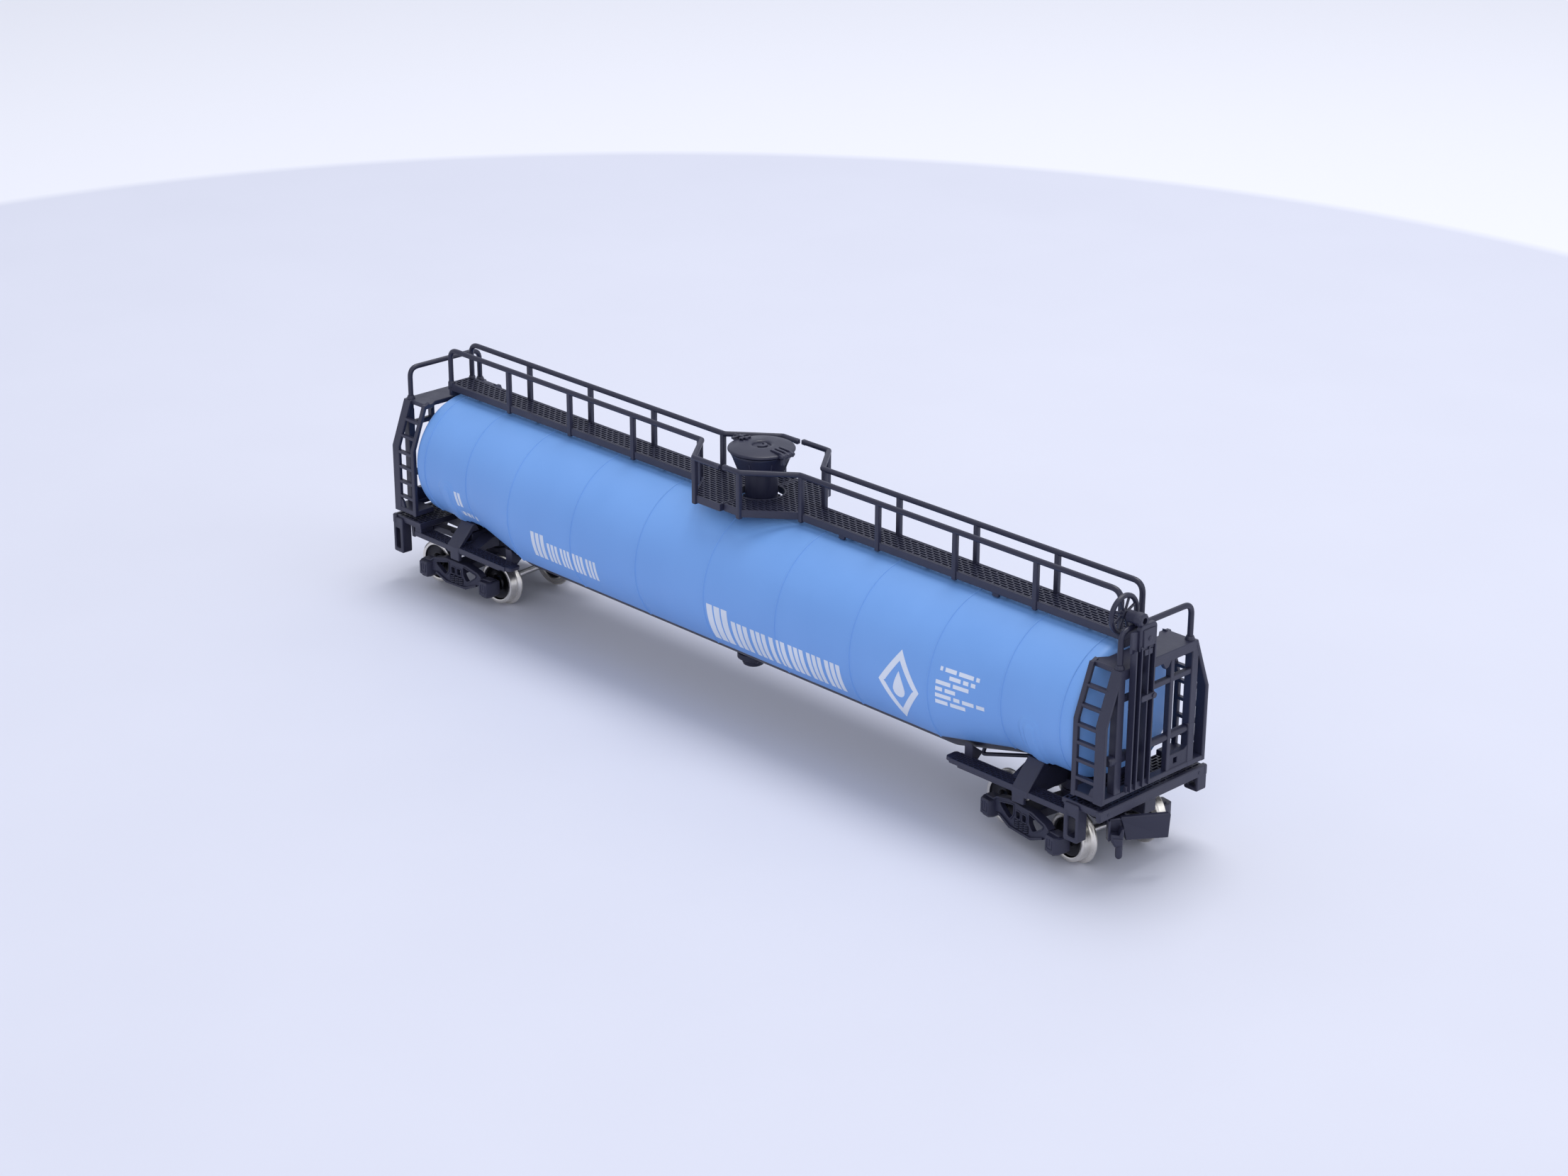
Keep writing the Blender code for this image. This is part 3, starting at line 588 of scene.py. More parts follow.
def pad_lift(x, z):
    """The pads embossed over the trucks."""
    away = abs(x) - TRUCK_X
    if abs(away) > 4 or z > 30:
        return 0.0
    return 0.22 * bullet(away, z, 2.75, 28.4, 0.5) + 0.30 * bullet(away, z, 1.45, 27.0, 0.45)


def head_stations():
    return [
        HEAD_START + HEAD_DEPTH * s
        for s in (
            0, 0.12, 0.22, 0.32, 0.42, 0.5, 0.58, 0.65, 0.71, 0.75, 0.7805, 0.83, 0.88, 0.92, 0.95, 0.972,
            0.988, 0.996, 0.9995,
        )
    ]


def loft(stations, angles_at, point_at, lip):
    """Open sections along X, with a lip along both lower edges."""
    verts, faces, rings = [], [], []
    for x in stations:
        angles = angles_at(x)
        ring = [point_at(x, angle) for angle in angles]
        inner = []
        for edge in (ring[0], ring[-1]):
            size = min(abs(edge.y), lip)
            inner.append(edge - Vector((0, math.copysign(size, edge.y), 0)))
        ring = [inner[0], *ring, inner[1]]
        rings.append(range(len(verts), len(verts) + len(ring)))
        verts += ring
    return verts, bridge(rings, gap=1) + [list(rings[0]), list(rings[-1])]


def upper_angles(x, count=190):
    radius, centre, seam = tank_section(x)
    limit = math.acos(min(max((seam - centre) / radius, -1), 1)) if radius > 0.01 else math.pi
    return [limit * (2 * i / count - 1) for i in range(count + 1)]


def upper_point(x, angle):
    radius, centre, _ = tank_section(x)
    z = centre + radius * math.cos(angle)
    lift = seam_lift(x) + pad_lift(x, z)
    return Vector((x, (radius + lift) * math.sin(angle), centre + (radius + lift) * math.cos(angle)))


def make_tank():
    half = []
    for seam in SEAMS:
        half += [seam + away for away, _ in SEAM_SHAPE if seam + away > 0]
    half += [TRUCK_X - 3.2 + 0.2 * i for i in range(33)]
    half += head_stations()
    half = sorted(set(round(x, 4) for x in half))
    stations = [-x for x in reversed(half)] + half
    shell = Part().add(loft(stations, upper_angles, upper_point, 1.1))
    shell.finish("tank_shell_shape", "wagon_body", ["tank_shell"], "tank_blue", BLUE, angle=50)


def lower_half(start, end, count=56):
    """The black lower part of the tank between two stations on X."""

    def angles(x):
        radius, centre, seam = tank_section(x)
        limit = math.acos(min(max((seam - 0.15 - centre) / (radius - 0.14), -1), 1))
        return [limit + (math.tau - 2 * limit) * i / count for i in range(count + 1)]

    def point(x, angle):
        radius, centre, _ = tank_section(x)
        radius -= 0.14
        return Vector((x, radius * math.sin(angle), centre + radius * math.cos(angle)))

    marks = [x for x in (-CONE_START, CONE_START, HEAD_START) if start < x < end]
    marks += [x for x in head_stations() if start < x < end]
    return loft(sorted({start, end, *marks}), angles, point, 1.4)


def make_belly():
    pan = Part().add(lower_half(-CONE_END + 0.3, CONE_END - 0.3))
    for side in (-1, 1):
        rod = [
            (side * 63.2, 0, 10.6), (side * 62.4, 0, 8.0), (side * 79.2, 0, 13.2), (side * 79.2, 0, 14.6),
        ]
        pan.tube(bent(rod, 0.6, 4), 0.4, 10)
    black(pan, "belly_pan")
    bottom = TANK_TOP - 2 * BELLY_RADIUS
    x = sum(corner.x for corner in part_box("outlet_valve")) / 2 / MM
    valve = Part(Matrix.Translation((x, 0, 0)))
    valve.turned(
        [
            (1.7, 6.5), (2.2, 6.8), (2.3, 7.8), (3.0, 8.0), (3.4, 8.3), (3.4, 9.4), (2.9, 9.7),
            (2.9, bottom - 0.2),
        ],
        sides=28,
    )
    valve.box((-7.2, -1.2, 8.4), (7.2, 1.2, 9.4), 0.25)
    valve.box((-5.6, -0.5, 9.2), (5.6, 0.5, bottom - 0.15), 0.15)
    for turn in range(6):
        angle = math.radians(60 * turn + 30)
        spot = Vector((2.75 * math.cos(angle), 2.75 * math.sin(angle), 7.7))
        valve.drum(spot, spot + Vector((0, 0, 0.6)), 0.32, 0.08, 6)
    black(valve, "outlet_valve")
    for node in ("pipe_stub_a", "pipe_stub_middle", "pipe_stub_b"):
        x = sum(corner.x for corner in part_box(node)) / 2 / MM
        stub = Part(Matrix.Translation((x, 0, 0)))
        stub.turned([(1.1, 8.9), (1.35, 9.1), (1.5, 9.3), (1.5, bottom - 0.2)], sides=20)
        stub.box((-2.2, -0.8, 9.4), (2.2, 0.8, bottom - 0.25), 0.15)
        stub.turned([(0.6, 8.85), (0.6, 9.0)], sides=12)
        black(stub, node)


def make_ballast():
    lo, hi = (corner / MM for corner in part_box("ballast_weight"))
    strip = Part()
    strip.box(lo, hi, 0.3)
    for x in (-40, 0, 40):
        strip.drum((x, 0, hi.z - 0.4), (x, 0, hi.z - 0.02), 1.2)
    steel(strip, "ballast_weight", (1, 0, 0))


# ---- printed marks


def band(columns, rows=6, lift=0.045):
    """A thin print on the tank's -Y side: columns are (x, low, high)."""
    verts, faces = [], []
    grids = []
    for height in (-0.05, lift):
        grid = []
        for x, low, high in columns:
            line = []
            for k in range(rows + 1):
                z = low + (high - low) * k / rows
                radius, centre, _ = tank_section(x)
                angle = math.acos((z - centre) / radius)
                line.append(len(verts))
                reach = radius + height
                verts.append(Vector((x, -reach * math.sin(angle), centre + reach * math.cos(angle))))
            grid.append(line)
        grids.append(grid)
    for grid in grids:
        faces += bridge(grid, gap=1)
    under, over = grids
    for i in (0, -1):
        for k in range(rows):
            faces.append([under[i][k], under[i][k + 1], over[i][k + 1], over[i][k]])
    for k in (0, -1):
        for i in range(len(columns) - 1):
            faces.append([under[i][k], under[i + 1][k], over[i + 1][k], over[i][k]])
    return verts, faces


def bar_mark(x, z, width, height):
    columns = [(x + width * i / 4, z, z + height) for i in range(5)]
    return band(columns, rows=max(2, round(height / 0.8)))


def make_marks():
    """Plain generic marks: rows of blocks, a drop in a rhombus, and six rows of dashes."""
    marks = Part()
    narrow_gap, wide_gap = 0.45, 1.0
    rows = (
        (-54.6, 19.9, 5.9, 4.5, (4.2, 3.3, 3.0, 3.3, 3.1)),
        (1.0, 17.6, 8.2, 6.3, (6.0, 4.6, 4.3, 4.5, 4.2, 4.0, 4.2)),
    )
    for x, base, tall, low, widths in rows:
        for i, width in enumerate(widths):
            height = low if i else tall
            third = (width - 2 * narrow_gap) / 3
            for k in range(3):
                marks.add(bar_mark(x + k * (third + narrow_gap), base, third, height))
            x += width + wide_gap
    for x in (-88.9, -84.9):
        for k in range(3):
            marks.add(bar_mark(x + 1.2 * k, 22.8, 0.8, 3.5))
    for i in range(5):
        marks.add(bar_mark(-84.6 + i * 1.5, 20.3, 1.0, 1.1))
    centre, middle = 55.0, 25.0
    half, tall, width = 5.3, 7.2, 1.2
    for up in (-1, 1):
        columns = []
        for i in range(25):
            x = half * (i / 12 - 1) * 0.995
            outer = tall * (1 - abs(x) / half)
            inner = max(tall - width * 1.75 - abs(x) * tall / half, 0)
            columns.append((centre + x, *sorted((middle + up * inner, middle + up * outer))))
        marks.add(band(columns, rows=4))
    radius, top = 1.55, 3.9
    base = middle - 0.9
    drop = []
    for i in range(15):
        x = radius * (i / 7 - 1) * 0.985
        low = -radius * math.sqrt(1 - (x / radius) ** 2)
        drop.append((centre + x, base + low, base + top * (1 - abs(x) / radius) ** 0.75 + 0.02))
    marks.add(band(drop, rows=8))
    lengths = (
        (0.6, 2.6, 3.4, 0.8), (2.6, 1.2, 1.0), (3.4, 3.6), (1.6, 2.4), (3.6, 1.4, 2.6, 1.8), (2.8, 3.4),
    )
    starts = (65.0, 67.4, 64.4, 64.4, 64.4, 64.4)
    for row, (x, pieces) in enumerate(zip(starts, lengths)):
        for length in pieces:
            marks.add(bar_mark(x, 31.2 - row * 1.33, length, 0.78))
            x += length + 0.6
    pair = Part().add(marks.shape).add(marks.shape, move=ENDS["a"])
    pair.finish("tank_marks", "wagon_body", [], "printed_white", PRINT, angle=60)


# ---- walkway and manway

DECK_TOP, SKIRT_BOTTOM = 45.4, 43.8
DECK_HALF, DECK_END = 3.2, 98.4
RAIL_HEIGHT, RAIL_RADIUS = 53.3, 0.57
POST_Y = DECK_HALF - 0.25
POST_FIRST, POST_PITCH = 15.5, 20.5
HOLE, GAP_EDGE = 4.7, 0.15


def post(part, x, y, top=RAIL_HEIGHT + 0.05):
    """An upright with rounded edges that stands outside the walkway's edge."""
    outline = rounded_loop(rect(x - 0.55, y - 0.5, x + 0.55, y + 0.5), 0.24, 2)
    part.prism("XY", outline, SKIRT_BOTTOM - 0.35, top, 0.16)


def walkway():
    reach = math.degrees(math.acos(GAP_EDGE / HOLE))
    outline = arc((0, 0), HOLE, reach, -reach, 22) + [
        (GAP_EDGE, -10.5), (5.2, -10.5), (13.9, -DECK_HALF), (DECK_END, -DECK_HALF),
        (DECK_END, DECK_HALF), (14.1, DECK_HALF), (8.1, 11.35), (GAP_EDGE, 11.35),
    ]
    part = Part()
    part.grating(offset(outline, 0.32), DECK_TOP - 0.04, DECK_TOP - 0.75, 0.84)
    part.rim(outline, DECK_TOP, SKIRT_BOTTOM, 0.42)
    for x in (27.6, 48.2, 68.8, 89.2):
        part.box((x - 0.35, -2.9, SKIRT_BOTTOM + 0.1), (x + 0.35, 2.9, DECK_TOP - 0.64))
    for y in (-2.0, 2.0):
        part.box((5.2, y - 0.25, SKIRT_BOTTOM + 0.3), (DECK_END - 0.2, y + 0.25, DECK_TOP - 0.6))
    places = [(POST_FIRST + POST_PITCH * i, side * POST_Y) for i in (1, 2, 3) for side in (-1, 1)]
    places += [(14.6, -POST_Y), (15.2, POST_Y), (4.7, -10.6), (7.7, 11.2)]
    for x, y in places:
        post(part, x, y)
    end_post = POST_FIRST + POST_PITCH * 4
    corners = {
        -1: [(14.2, -POST_Y), (4.9, -10.7), (0.45, -10.7)],
        1: [(14.6, POST_Y), (7.9, 11.3), (0.45, 11.3)],
    }
    for side, turns in corners.items():
        route = [(end_post, side * POST_Y, DECK_TOP - 0.9), (end_post, side * POST_Y, RAIL_HEIGHT)]
        route += [(x, y, RAIL_HEIGHT) for x, y in turns]
        path = bent(route[:3], 2.3, 7)[:-1]
        path += bent([route[1], *route[2:]], 0.35, 2)[1:]
        part.tube(path, RAIL_RADIUS, 14)
        tip = turns[-1]
        part.box(
            (tip[0] - 0.25, tip[1] - 0.5, RAIL_HEIGHT - 0.55),
            (tip[0] + 1.0, tip[1] + 0.5, RAIL_HEIGHT + 0.5), 0.18,
        )
        part.turned(
            [(0.75, 0), (0.75, 0.5), (0.6, 0.8)], (end_post, side * POST_Y, DECK_TOP - 0.2), sides=14,
        )
    for x in (26.0, 67.0):
        part.box((x - 0.9, -0.9, TANK_TOP + 0.15), (x + 0.9, 0.9, DECK_TOP - 0.6))
        part.box((x - 0.8, -3.05, SKIRT_BOTTOM - 0.75), (x + 0.8, -2.4, SKIRT_BOTTOM + 0.2))
    part.box((DECK_END - 0.9, -2.4, 42.15), (DECK_END - 0.1, 2.4, DECK_TOP - 0.3))
    for y in (-2.7, 2.7):
        part.box((DECK_END - 1.0, y - 0.4, 42.5), (DECK_END - 0.15, y + 0.4, DECK_TOP - 0.5))
    return part.shape


def make_walkway():
    black_pair(walkway(), "walkway_half")


def make_manway():
    neck = Part()
    neck.turned(
        [
            (2.1, 40.6), (2.1, 43.15), (4.15, 43.15), (4.25, 43.3), (4.25, 43.75), (4.05, 43.95),
            (3.55, 44.05), (3.38, 44.3), (3.33, 44.8), (3.33, 49.6), (3.45, 50.1), (3.8, 50.42),
            (4.85, 50.5), (5.05, 50.65), (5.3, 51.4), (6.25, 53.6), (6.5, 54.0), (6.5, 54.14),
        ],
        sides=56,
    )
    for i in range(8):
        turn = Matrix.Rotation(math.radians(45 * i + 22), 4, "Z")
        neck.drum((3.85, 0, 43.7), (3.85, 0, 44.15), 0.28, 0.06, 6, move=turn)
        neck.prism(
            "XZ", [(3.2, 50.2), (5.2, 50.75), (6.1, 53.0), (5.0, 53.0), (4.6, 51.2), (3.2, 50.9)], -0.14,
            0.14, 0.04, move=turn,
        )
    black(neck, "manway_neck")
    lid = Part()
    lid.turned(
        [
            (6.4, 54.3), (6.75, 54.36), (6.9, 54.52), (6.9, 54.72), (6.8, 54.9), (6.55, 55.02),
            (5.4, 55.24), (4.0, 55.42), (2.9, 55.5), (2.35, 55.5), (2.05, 55.4), (1.9, 55.22),
            (1.86, 55.08), (0, 55.06),
        ],
        sides=72,
    )
    crescent = arc((0, 0), 1.25, -75, 105, 14) + list(reversed(arc((-0.35, -0.1), 0.85, -75, 105, 14)))
    lid.prism("XY", crescent, 55.0, 55.48, 0.1)
    lid.turned([(0.95, 55.0), (0.9, 55.18), (0.5, 55.28), (0, 55.3)], sides=24)
    for y in (-1.1, 0.1, 1.3):
        outline = [
            (3.4, 55.2), (4.2, 55.7), (6.8, 55.6), (7.85, 55.2), (7.85, 54.42), (6.7, 54.35), (4.0, 55.0),
        ]
        lid.prism("XZ", outline, y - 0.3, y + 0.3, 0.1)
    lid.box((6.5, -1.55, 54.33), (7.7, 1.75, 55.3), 0.15)
    lid.box((6.7, -1.25, 52.9), (7.45, -0.35, 54.6), 0.15)
    lid.tube([(7.4, -1.75, 54.85), (7.4, 1.95, 54.85)], 0.42, 12)
    lid.tube([(-8.15, 0.15, 55.42), (-3.9, -0.15, 55.62)], 0.26, 10)
    lid.tube([(-7.0, -1.7, 55.35), (-6.5, 1.7, 55.35)], 0.26, 10)
    lid.tube([(-5.3, -1.25, 55.52), (-4.6, 1.35, 55.55)], 0.24, 10)
    lid.tube([(-7.7, 1.3, 55.2), (-4.5, -1.1, 55.62)], 0.2, 10)
    lid.box((-8.1, -0.55, 54.4), (-6.6, 0.55, 55.3), 0.15)
    lid.drum((-5.9, 0.0, 55.0), (-5.9, 0.0, 55.85), 0.42, 0.1, 12)
    black(lid, "manway_lid")


# ---- end frames and hand brake

INNER_X, OUTER_X = 97.2, 104.8
FRAME_TOP, FRAME_BASE = 42.0, 16.6
LADDER_HALF, LADDER_BEND, TOP_HALF = 14.2, 31.9, 10.4
RUNGS = (20.4, 23.9, 27.4, 30.9, 34.4, 37.9)
NEAR_X = OUTER_X - 2.3
GRAB_X, GRAB_HALF, GRAB_TOP = 103.5, 9.8, 49.1
BAR_X, BAR_HEIGHT = NEAR_X + 1.2, 24.4


def ladder_y(z):
    share = max((z - LADDER_BEND) / (FRAME_TOP - LADDER_BEND), 0)
    return LADDER_HALF + (TOP_HALF - LADDER_HALF) * share


def end_frame():
    part = Part()
    top = [(98.4, 7.0), (INNER_X + 0.04, 8.6), (INNER_X + 0.04, TOP_HALF)]
    front = OUTER_X - 0.02
    top = [(x, -y) for x, y in top] + [(front, -TOP_HALF), (front, TOP_HALF)] + top[::-1]
    part.prism("XY", top, FRAME_TOP - 1.0, FRAME_TOP, 0.14)
    part.box(
        (OUTER_X - 0.7, 0.1 - TOP_HALF, FRAME_TOP - 2.0),
        (OUTER_X - 0.05, TOP_HALF - 0.1, FRAME_TOP - 0.1), 0.12,
    )
    for side in (-1, 1):
        outer = [(ladder_y(z) + 0.45, z) for z in (FRAME_BASE, LADDER_BEND, FRAME_TOP - 0.05)]
        inner = [(ladder_y(z) - 0.45, z) for z in (FRAME_TOP - 0.05, LADDER_BEND, FRAME_BASE)]
        outline = sided(side, outer + inner)
        part.prism("YZ", outline, INNER_X, INNER_X + 1.1, 0.13)
        part.prism("YZ", outline, NEAR_X, OUTER_X, 0.16)
        for z in RUNGS:
            y = side * ladder_y(z)
            rung = [
                (y - 0.42, z - 0.15), (y - 0.3, z - 0.42), (y + 0.3, z - 0.42), (y + 0.42, z - 0.15),
                (y + 0.42, z + 0.3), (y - 0.42, z + 0.3),
            ]
            part.prism("YZ", rung, INNER_X + 0.5, NEAR_X + 0.6, 0.05)
        part.box((NEAR_X + 0.4, side * 9.4, FRAME_BASE + 0.1), (OUTER_X - 0.1, side * 11.2, 39.8), 0.14)
        brace = [(9.47, 38.6), (11.6, 38.6), (10.7, 41.8), (9.47, 41.8)]
        part.prism("YZ", sided(side, brace), NEAR_X + 0.46, OUTER_X - 0.07, 0.12)
        tab = [(-1.9, 41.2), (1.9, 41.2), (0.5, 38.9), (-0.3, 38.7)]
        part.prism("YZ", [(y + 2.2 * side, z) for y, z in tab], OUTER_X - 1.1, OUTER_X - 0.13, 0.1)
        part.box(
            (INNER_X + 0.04, side * 9.46, FRAME_BASE + 0.04),
            (OUTER_X - 0.04, side * 14.6, FRAME_BASE + 1.2), 0.14,
        )
        notch = [
            (10.34, FRAME_TOP - 0.05), (9.4, FRAME_TOP + 0.35), (9.4, FRAME_TOP - 0.4),
            (10.34, FRAME_TOP - 0.5),
        ]
        part.prism("YZ", sided(side, notch), INNER_X + 0.05, INNER_X + 1.0, 0.08)
        foot = [(0, 0), (1.5, 0), (0.9, 1.6), (0, 2.2)]
        part.prism(
            "XZ", [(NEAR_X + 0.3 - x, FRAME_BASE + 1.0 + z) for x, z in foot], side * 14.2 - 0.3,
            side * 14.2 + 0.3, 0.08,
        )
        boss = (GRAB_X, side * GRAB_HALF, FRAME_TOP - 0.15)
        part.turned([(0.95, 0), (0.95, 0.35), (0.7, 0.9)], boss, sides=14)
    part.box((NEAR_X + 0.8, 3.5, FRAME_BASE + 0.3), (OUTER_X - 0.2, 4.5, FRAME_TOP - 0.4), 0.12)
    part.box((NEAR_X + 0.9, -11.0, 35.5), (OUTER_X - 0.3, 11.0, 36.6), 0.14)
    part.box((NEAR_X + 0.5, -9.74, FRAME_BASE + 0.07), (OUTER_X - 0.07, 9.74, FRAME_BASE + 1.17), 0.14)
    for start, stop, radius in ((-10.8, 10.2, 0.8), (-12.5, -7.0, 1.05)):
        part.tube([(BAR_X, start, BAR_HEIGHT), (BAR_X, stop, BAR_HEIGHT)], radius, 14)
    part.box((NEAR_X + 0.5, 9.3, 23.3), (OUTER_X - 0.05, 11.05, 25.6), 0.2)
    panel = [(4.2, FRAME_BASE + 0.6), (9.8, FRAME_BASE + 0.6), (9.8, 21.4), (8.6, 20.6), (4.2, 20.6)]
    slot = rect(5.6, FRAME_BASE + 2.0, 6.6, 19.7)
    part.prism("YZ", panel, NEAR_X + 0.7, OUTER_X - 0.25, 0.1, holes=[slot])
    foot = FRAME_TOP - 0.5
    turns = [(-GRAB_HALF, foot), (-GRAB_HALF, GRAB_TOP), (GRAB_HALF, GRAB_TOP), (GRAB_HALF, foot)]
    part.tube(bent([(GRAB_X, y, z) for y, z in turns], 2.2, 7), RAIL_RADIUS, 14)
    return part.shape


def make_end_frames():
    black_pair(end_frame(), "end_frame")


def make_hand_brake():
    hub = SPOTS["brake_wheel_turn"]
    face = OUTER_X + 0.15
    stand = Part()
    for low, high in ((-8.75, -6.95), (-5.3, -3.3)):
        channel = [
            (face, low), (face + 1.4, low), (face + 1.4, low + 0.32), (face + 0.35, low + 0.4),
            (face + 0.35, high - 0.4), (face + 1.4, high - 0.32), (face + 1.4, high), (face, high),
        ]
        stand.prism("XY", channel, 18.0, 45.8, 0.08)
    tab = rounded_loop(rect(-6.9, 35.3, -2.9, 36.5), 0.5, 3)
    cover = rounded_loop(
        [(-7.6, 45.2), (-2.9, 45.2), (-2.9, 49.6), (-3.5, 50.2), (-6.9, 50.2), (-7.6, 49.5)], 0.3, 2,
    )
    stand.prism("YZ", tab, face + 0.2, face + 1.6, 0.12)
    stand.turned([(0.5, 0), (0.55, 0.1), (0.55, 0.3)], (face + 1.5, -3.5, 35.9), (1, 0, 0), 14)
    stand.box((face + 0.03, -9.2, 17.9), (face + 0.9, -3.1, 19.2), 0.12)
    stand.box((face + 0.06, -9.25, 45.1), (face + 0.65, -7.3, 49.2), 0.14)
    stand.prism("YZ", cover, face + 0.04, face + 1.15, 0.16)
    stand.box((face + 1.0, -6.8, 45.9), (face + 1.4, -3.7, 49.3), 0.14)
    stand.box((face + 0.6, -6.3, 44.2), (face + 1.35, -4.1, 45.4), 0.12)
    stand.turned([(0.48, 0), (0.48, 0.18), (0.3, 0.3)], (face + 1.3, -5.1, 47.4), (1, 0, 0), 12)
    stand.turned(
        [
            (0.62, -2.9), (0.95, -2.9), (1.2, -2.6), (1.2, -0.9), (1.38, -0.6), (1.38, 0.6), (1.1, 0.95),
            (0.62, 0.95),
        ],
        (face, hub.y, hub.z), (1, 0, 0), 10, True,
    )
    for y, z in ((-3.5, 46.0), (-7.1, 46.0), (-3.5, 49.0)):
        stand.drum((face + 1.0, y, z), (face + 1.3, y, z), 0.26, 0.06, 6)
    black(stand, "brake_stand")
    wheel = Part(Matrix.Translation(hub))
    rim = arc((0, 0), 3.45, 0, 360, 40)[:-1]
    wheel.tube([(0, y, z) for y, z in rim], 0.5, 10, closed=True)
    for i in range(8):
        angle = math.tau * (i + 0.5) / 8
        y, z = math.cos(angle), math.sin(angle)
        wheel.tube([(0.05, 0.7 * y, 0.7 * z), (0.0, 3.4 * y, 3.4 * z)], 0.26, 8)
    wheel.turned(
        [(0.6, -0.6), (0.85, -0.45), (1.0, -0.1), (0.95, 0.5), (0.7, 0.7)], (0, 0, 0), (1, 0, 0), 20,
    )
    wheel.drum((-0.3, 0, 0), (face + 0.45 - hub.x, 0, 0), 0.45, 0.1, 14)
    wheel.turned([(0.35, -0.8), (0.42, -0.7), (0.42, -0.5)], (0, 0, 0), (1, 0, 0), 6)
    black(wheel, "brake_wheel", "brake_wheel")


# ---- underframe


def board(part, x0, x1, side, top, thick, rim=0.34):
    """A grated step board along one side."""
    y0, y1 = sorted((side * 10.6, side * 14.2))
    outline = rect(x0, y0, x1, y1)
    part.rim(outline, top, top - thick, rim, 0.09)
    part.grating(
        rect(x0 + 0.3, y0 + 0.25, x1 - 0.3, y1 - 0.25), top - 0.03, top - 0.55, 0.62, bar=0.26, slot=1.45,
        cross=0.36,
    )
    part.box((x0 + 0.2, y0 + 0.2, top - thick + 0.02), (x1 - 0.2, y1 - 0.2, top - 0.6), 0.05)


STIRRUPS = {
    "a": {-1: (96.3, 99.8, 7.4), 1: (101.7, 105.0, 6.7)},
    "b": {-1: (96.3, 99.8, 7.4), 1: (101.7, 105.0, 10.5)},
}
STIRRUP_Y = (12.6, 15.2)


def stirrup(part, side, start, end, bottom):
    """A step that hangs as a deep loop of flat bar, open along Y."""
    outline = [(start, 15.0), (start, bottom), (end, bottom), (end, 15.0)]
    outline = rounded_loop(outline, 0.45, 3)
    near, far = (side * y for y in STIRRUP_Y)
    low = min(bottom + 0.95, 11.6)
    hole = rounded_loop(
        [(start + 1.0, 12.4), (start + 1.0, low), (end - 0.7, low), (end - 0.7, 12.4)], 0.35, 3,
    )
    part.prism("XZ", outline, near, far, 0.16, holes=[hole])


def end_underframe(stirrups):
    """The underframe of the end at +X; stirrups gives (start, end, bottom) for each side."""
    part = Part()
    part.add(lower_half(CONE_END, HEAD_START + HEAD_DEPTH * 0.775))
    part.box((79.6, -1.7, 10.3), (104.2, 1.7, 14.9), 0.2)
    part.box((104.1, -15.25, 13.5), (105.05, 15.25, 15.6), 0.18)
    part.box((95.6, -14.6, 14.0), (104.4, 14.6, 14.75), 0.15)
    part.turned([(2.7, 9.75), (3.0, 10.0), (3.0, 12)], (TRUCK_X, 0, 0), sides=28)
    part.box((83.2, -12.0, 11.2), (86.2, 12.0, 13.6), 0.25)
    part.box((83.2, -9.8, 13.4), (86.2, 9.8, 15.4), 0.2)
    deck = rect(95.5, -14.75, 104.3, 14.75)
    part.rim(deck, 15.5, 14.5, 0.35, 0.08)
    part.grating(rect(95.7, -14.5, 104.2, 14.5), 15.47, 14.8, 0.83, turn=True)
    for side in (-1, 1):
        arm = [
            (9.0, 17.75), (9.9, 17.75), (14.3, 12.95), (14.3, 11.6), (13.3, 11.6), (13.3, 12.6),
            (9.9, 15.9), (8.0, 15.9),
        ]
        part.prism("YZ", sided(side, arm), 82.6, 86.7, 0.18)
        part.box((82.64, side * 13.34, 9.9), (85.7, side * 14.26, 12.4), 0.18)
        gusset = [(3.0, 12.0), (13.4, 12.0), (13.5, 12.8), (10.0, 16.3), (8.4, 16.6), (3.0, 15.2)]
        part.prism("YZ", sided(side, gusset), 86.0, 86.62, 0.1)
        web = [(5.0, 12.26), (11.2, 12.26), (11.2, 13.0), (7.0, 14.8), (5.0, 14.8)]
        part.prism("YZ", sided(side, web), 79.6, 82.9, 0.15)
        bracket = [(11.2, 12.3), (11.2, 16.0), (9.0, 14.3), (8.0, 13.6), (9.6, 12.3)]
        part.prism("YZ", sided(side, bracket), 67.7, 69.8, 0.16)
        part.box((67.3, side * 9.8, 12.0), (70.2, side * 11.1, 12.9), 0.15)
        board(part, 66.6, 83.4, side, 13.2, 1.0)
        part.box((68.6, side * 11.0, 11.8), (83.1, side * 14.1, 12.36), 0.12)
        tip = [
            (65.2, side * 11.2), (65.6, side * 10.7), (66.9, side * 10.7), (66.9, side * 14.1),
            (65.6, side * 13.8), (65.2, side * 13.3),
        ]
        part.prism("XY", tip, 12.3, 13.17, 0.14)
        board(part, 86.4, 98.4, side, 12.9, 1.2)
        part.box((96.2, side * 10.65, 12.5), (97.0, side * 14.15, 15.1), 0.12)
        part.box((96.9, side * 13.5, 12.45), (98.5, side * 14.1, 14.95), 0.12)
        stirrup(part, side, *stirrups[side])
        part.box((103.9, side * 14.2, 13.43), (105.1, side * 15.3, 15.64), 0.26)
        part.drum((104.6, side * 12.9, 14.5), (105.15, side * 12.9, 14.5), 0.34, 0.08, 10)
    return part.shape


def make_underframes():
    for end, turn in ENDS.items():
        black(Part(turn).add(end_underframe(STIRRUPS[end])), f"end_underframe_{end}")


# ---- trucks and couplers

HALF_WHEELBASE, COUPLER_PIVOT = 9.65, 12.0


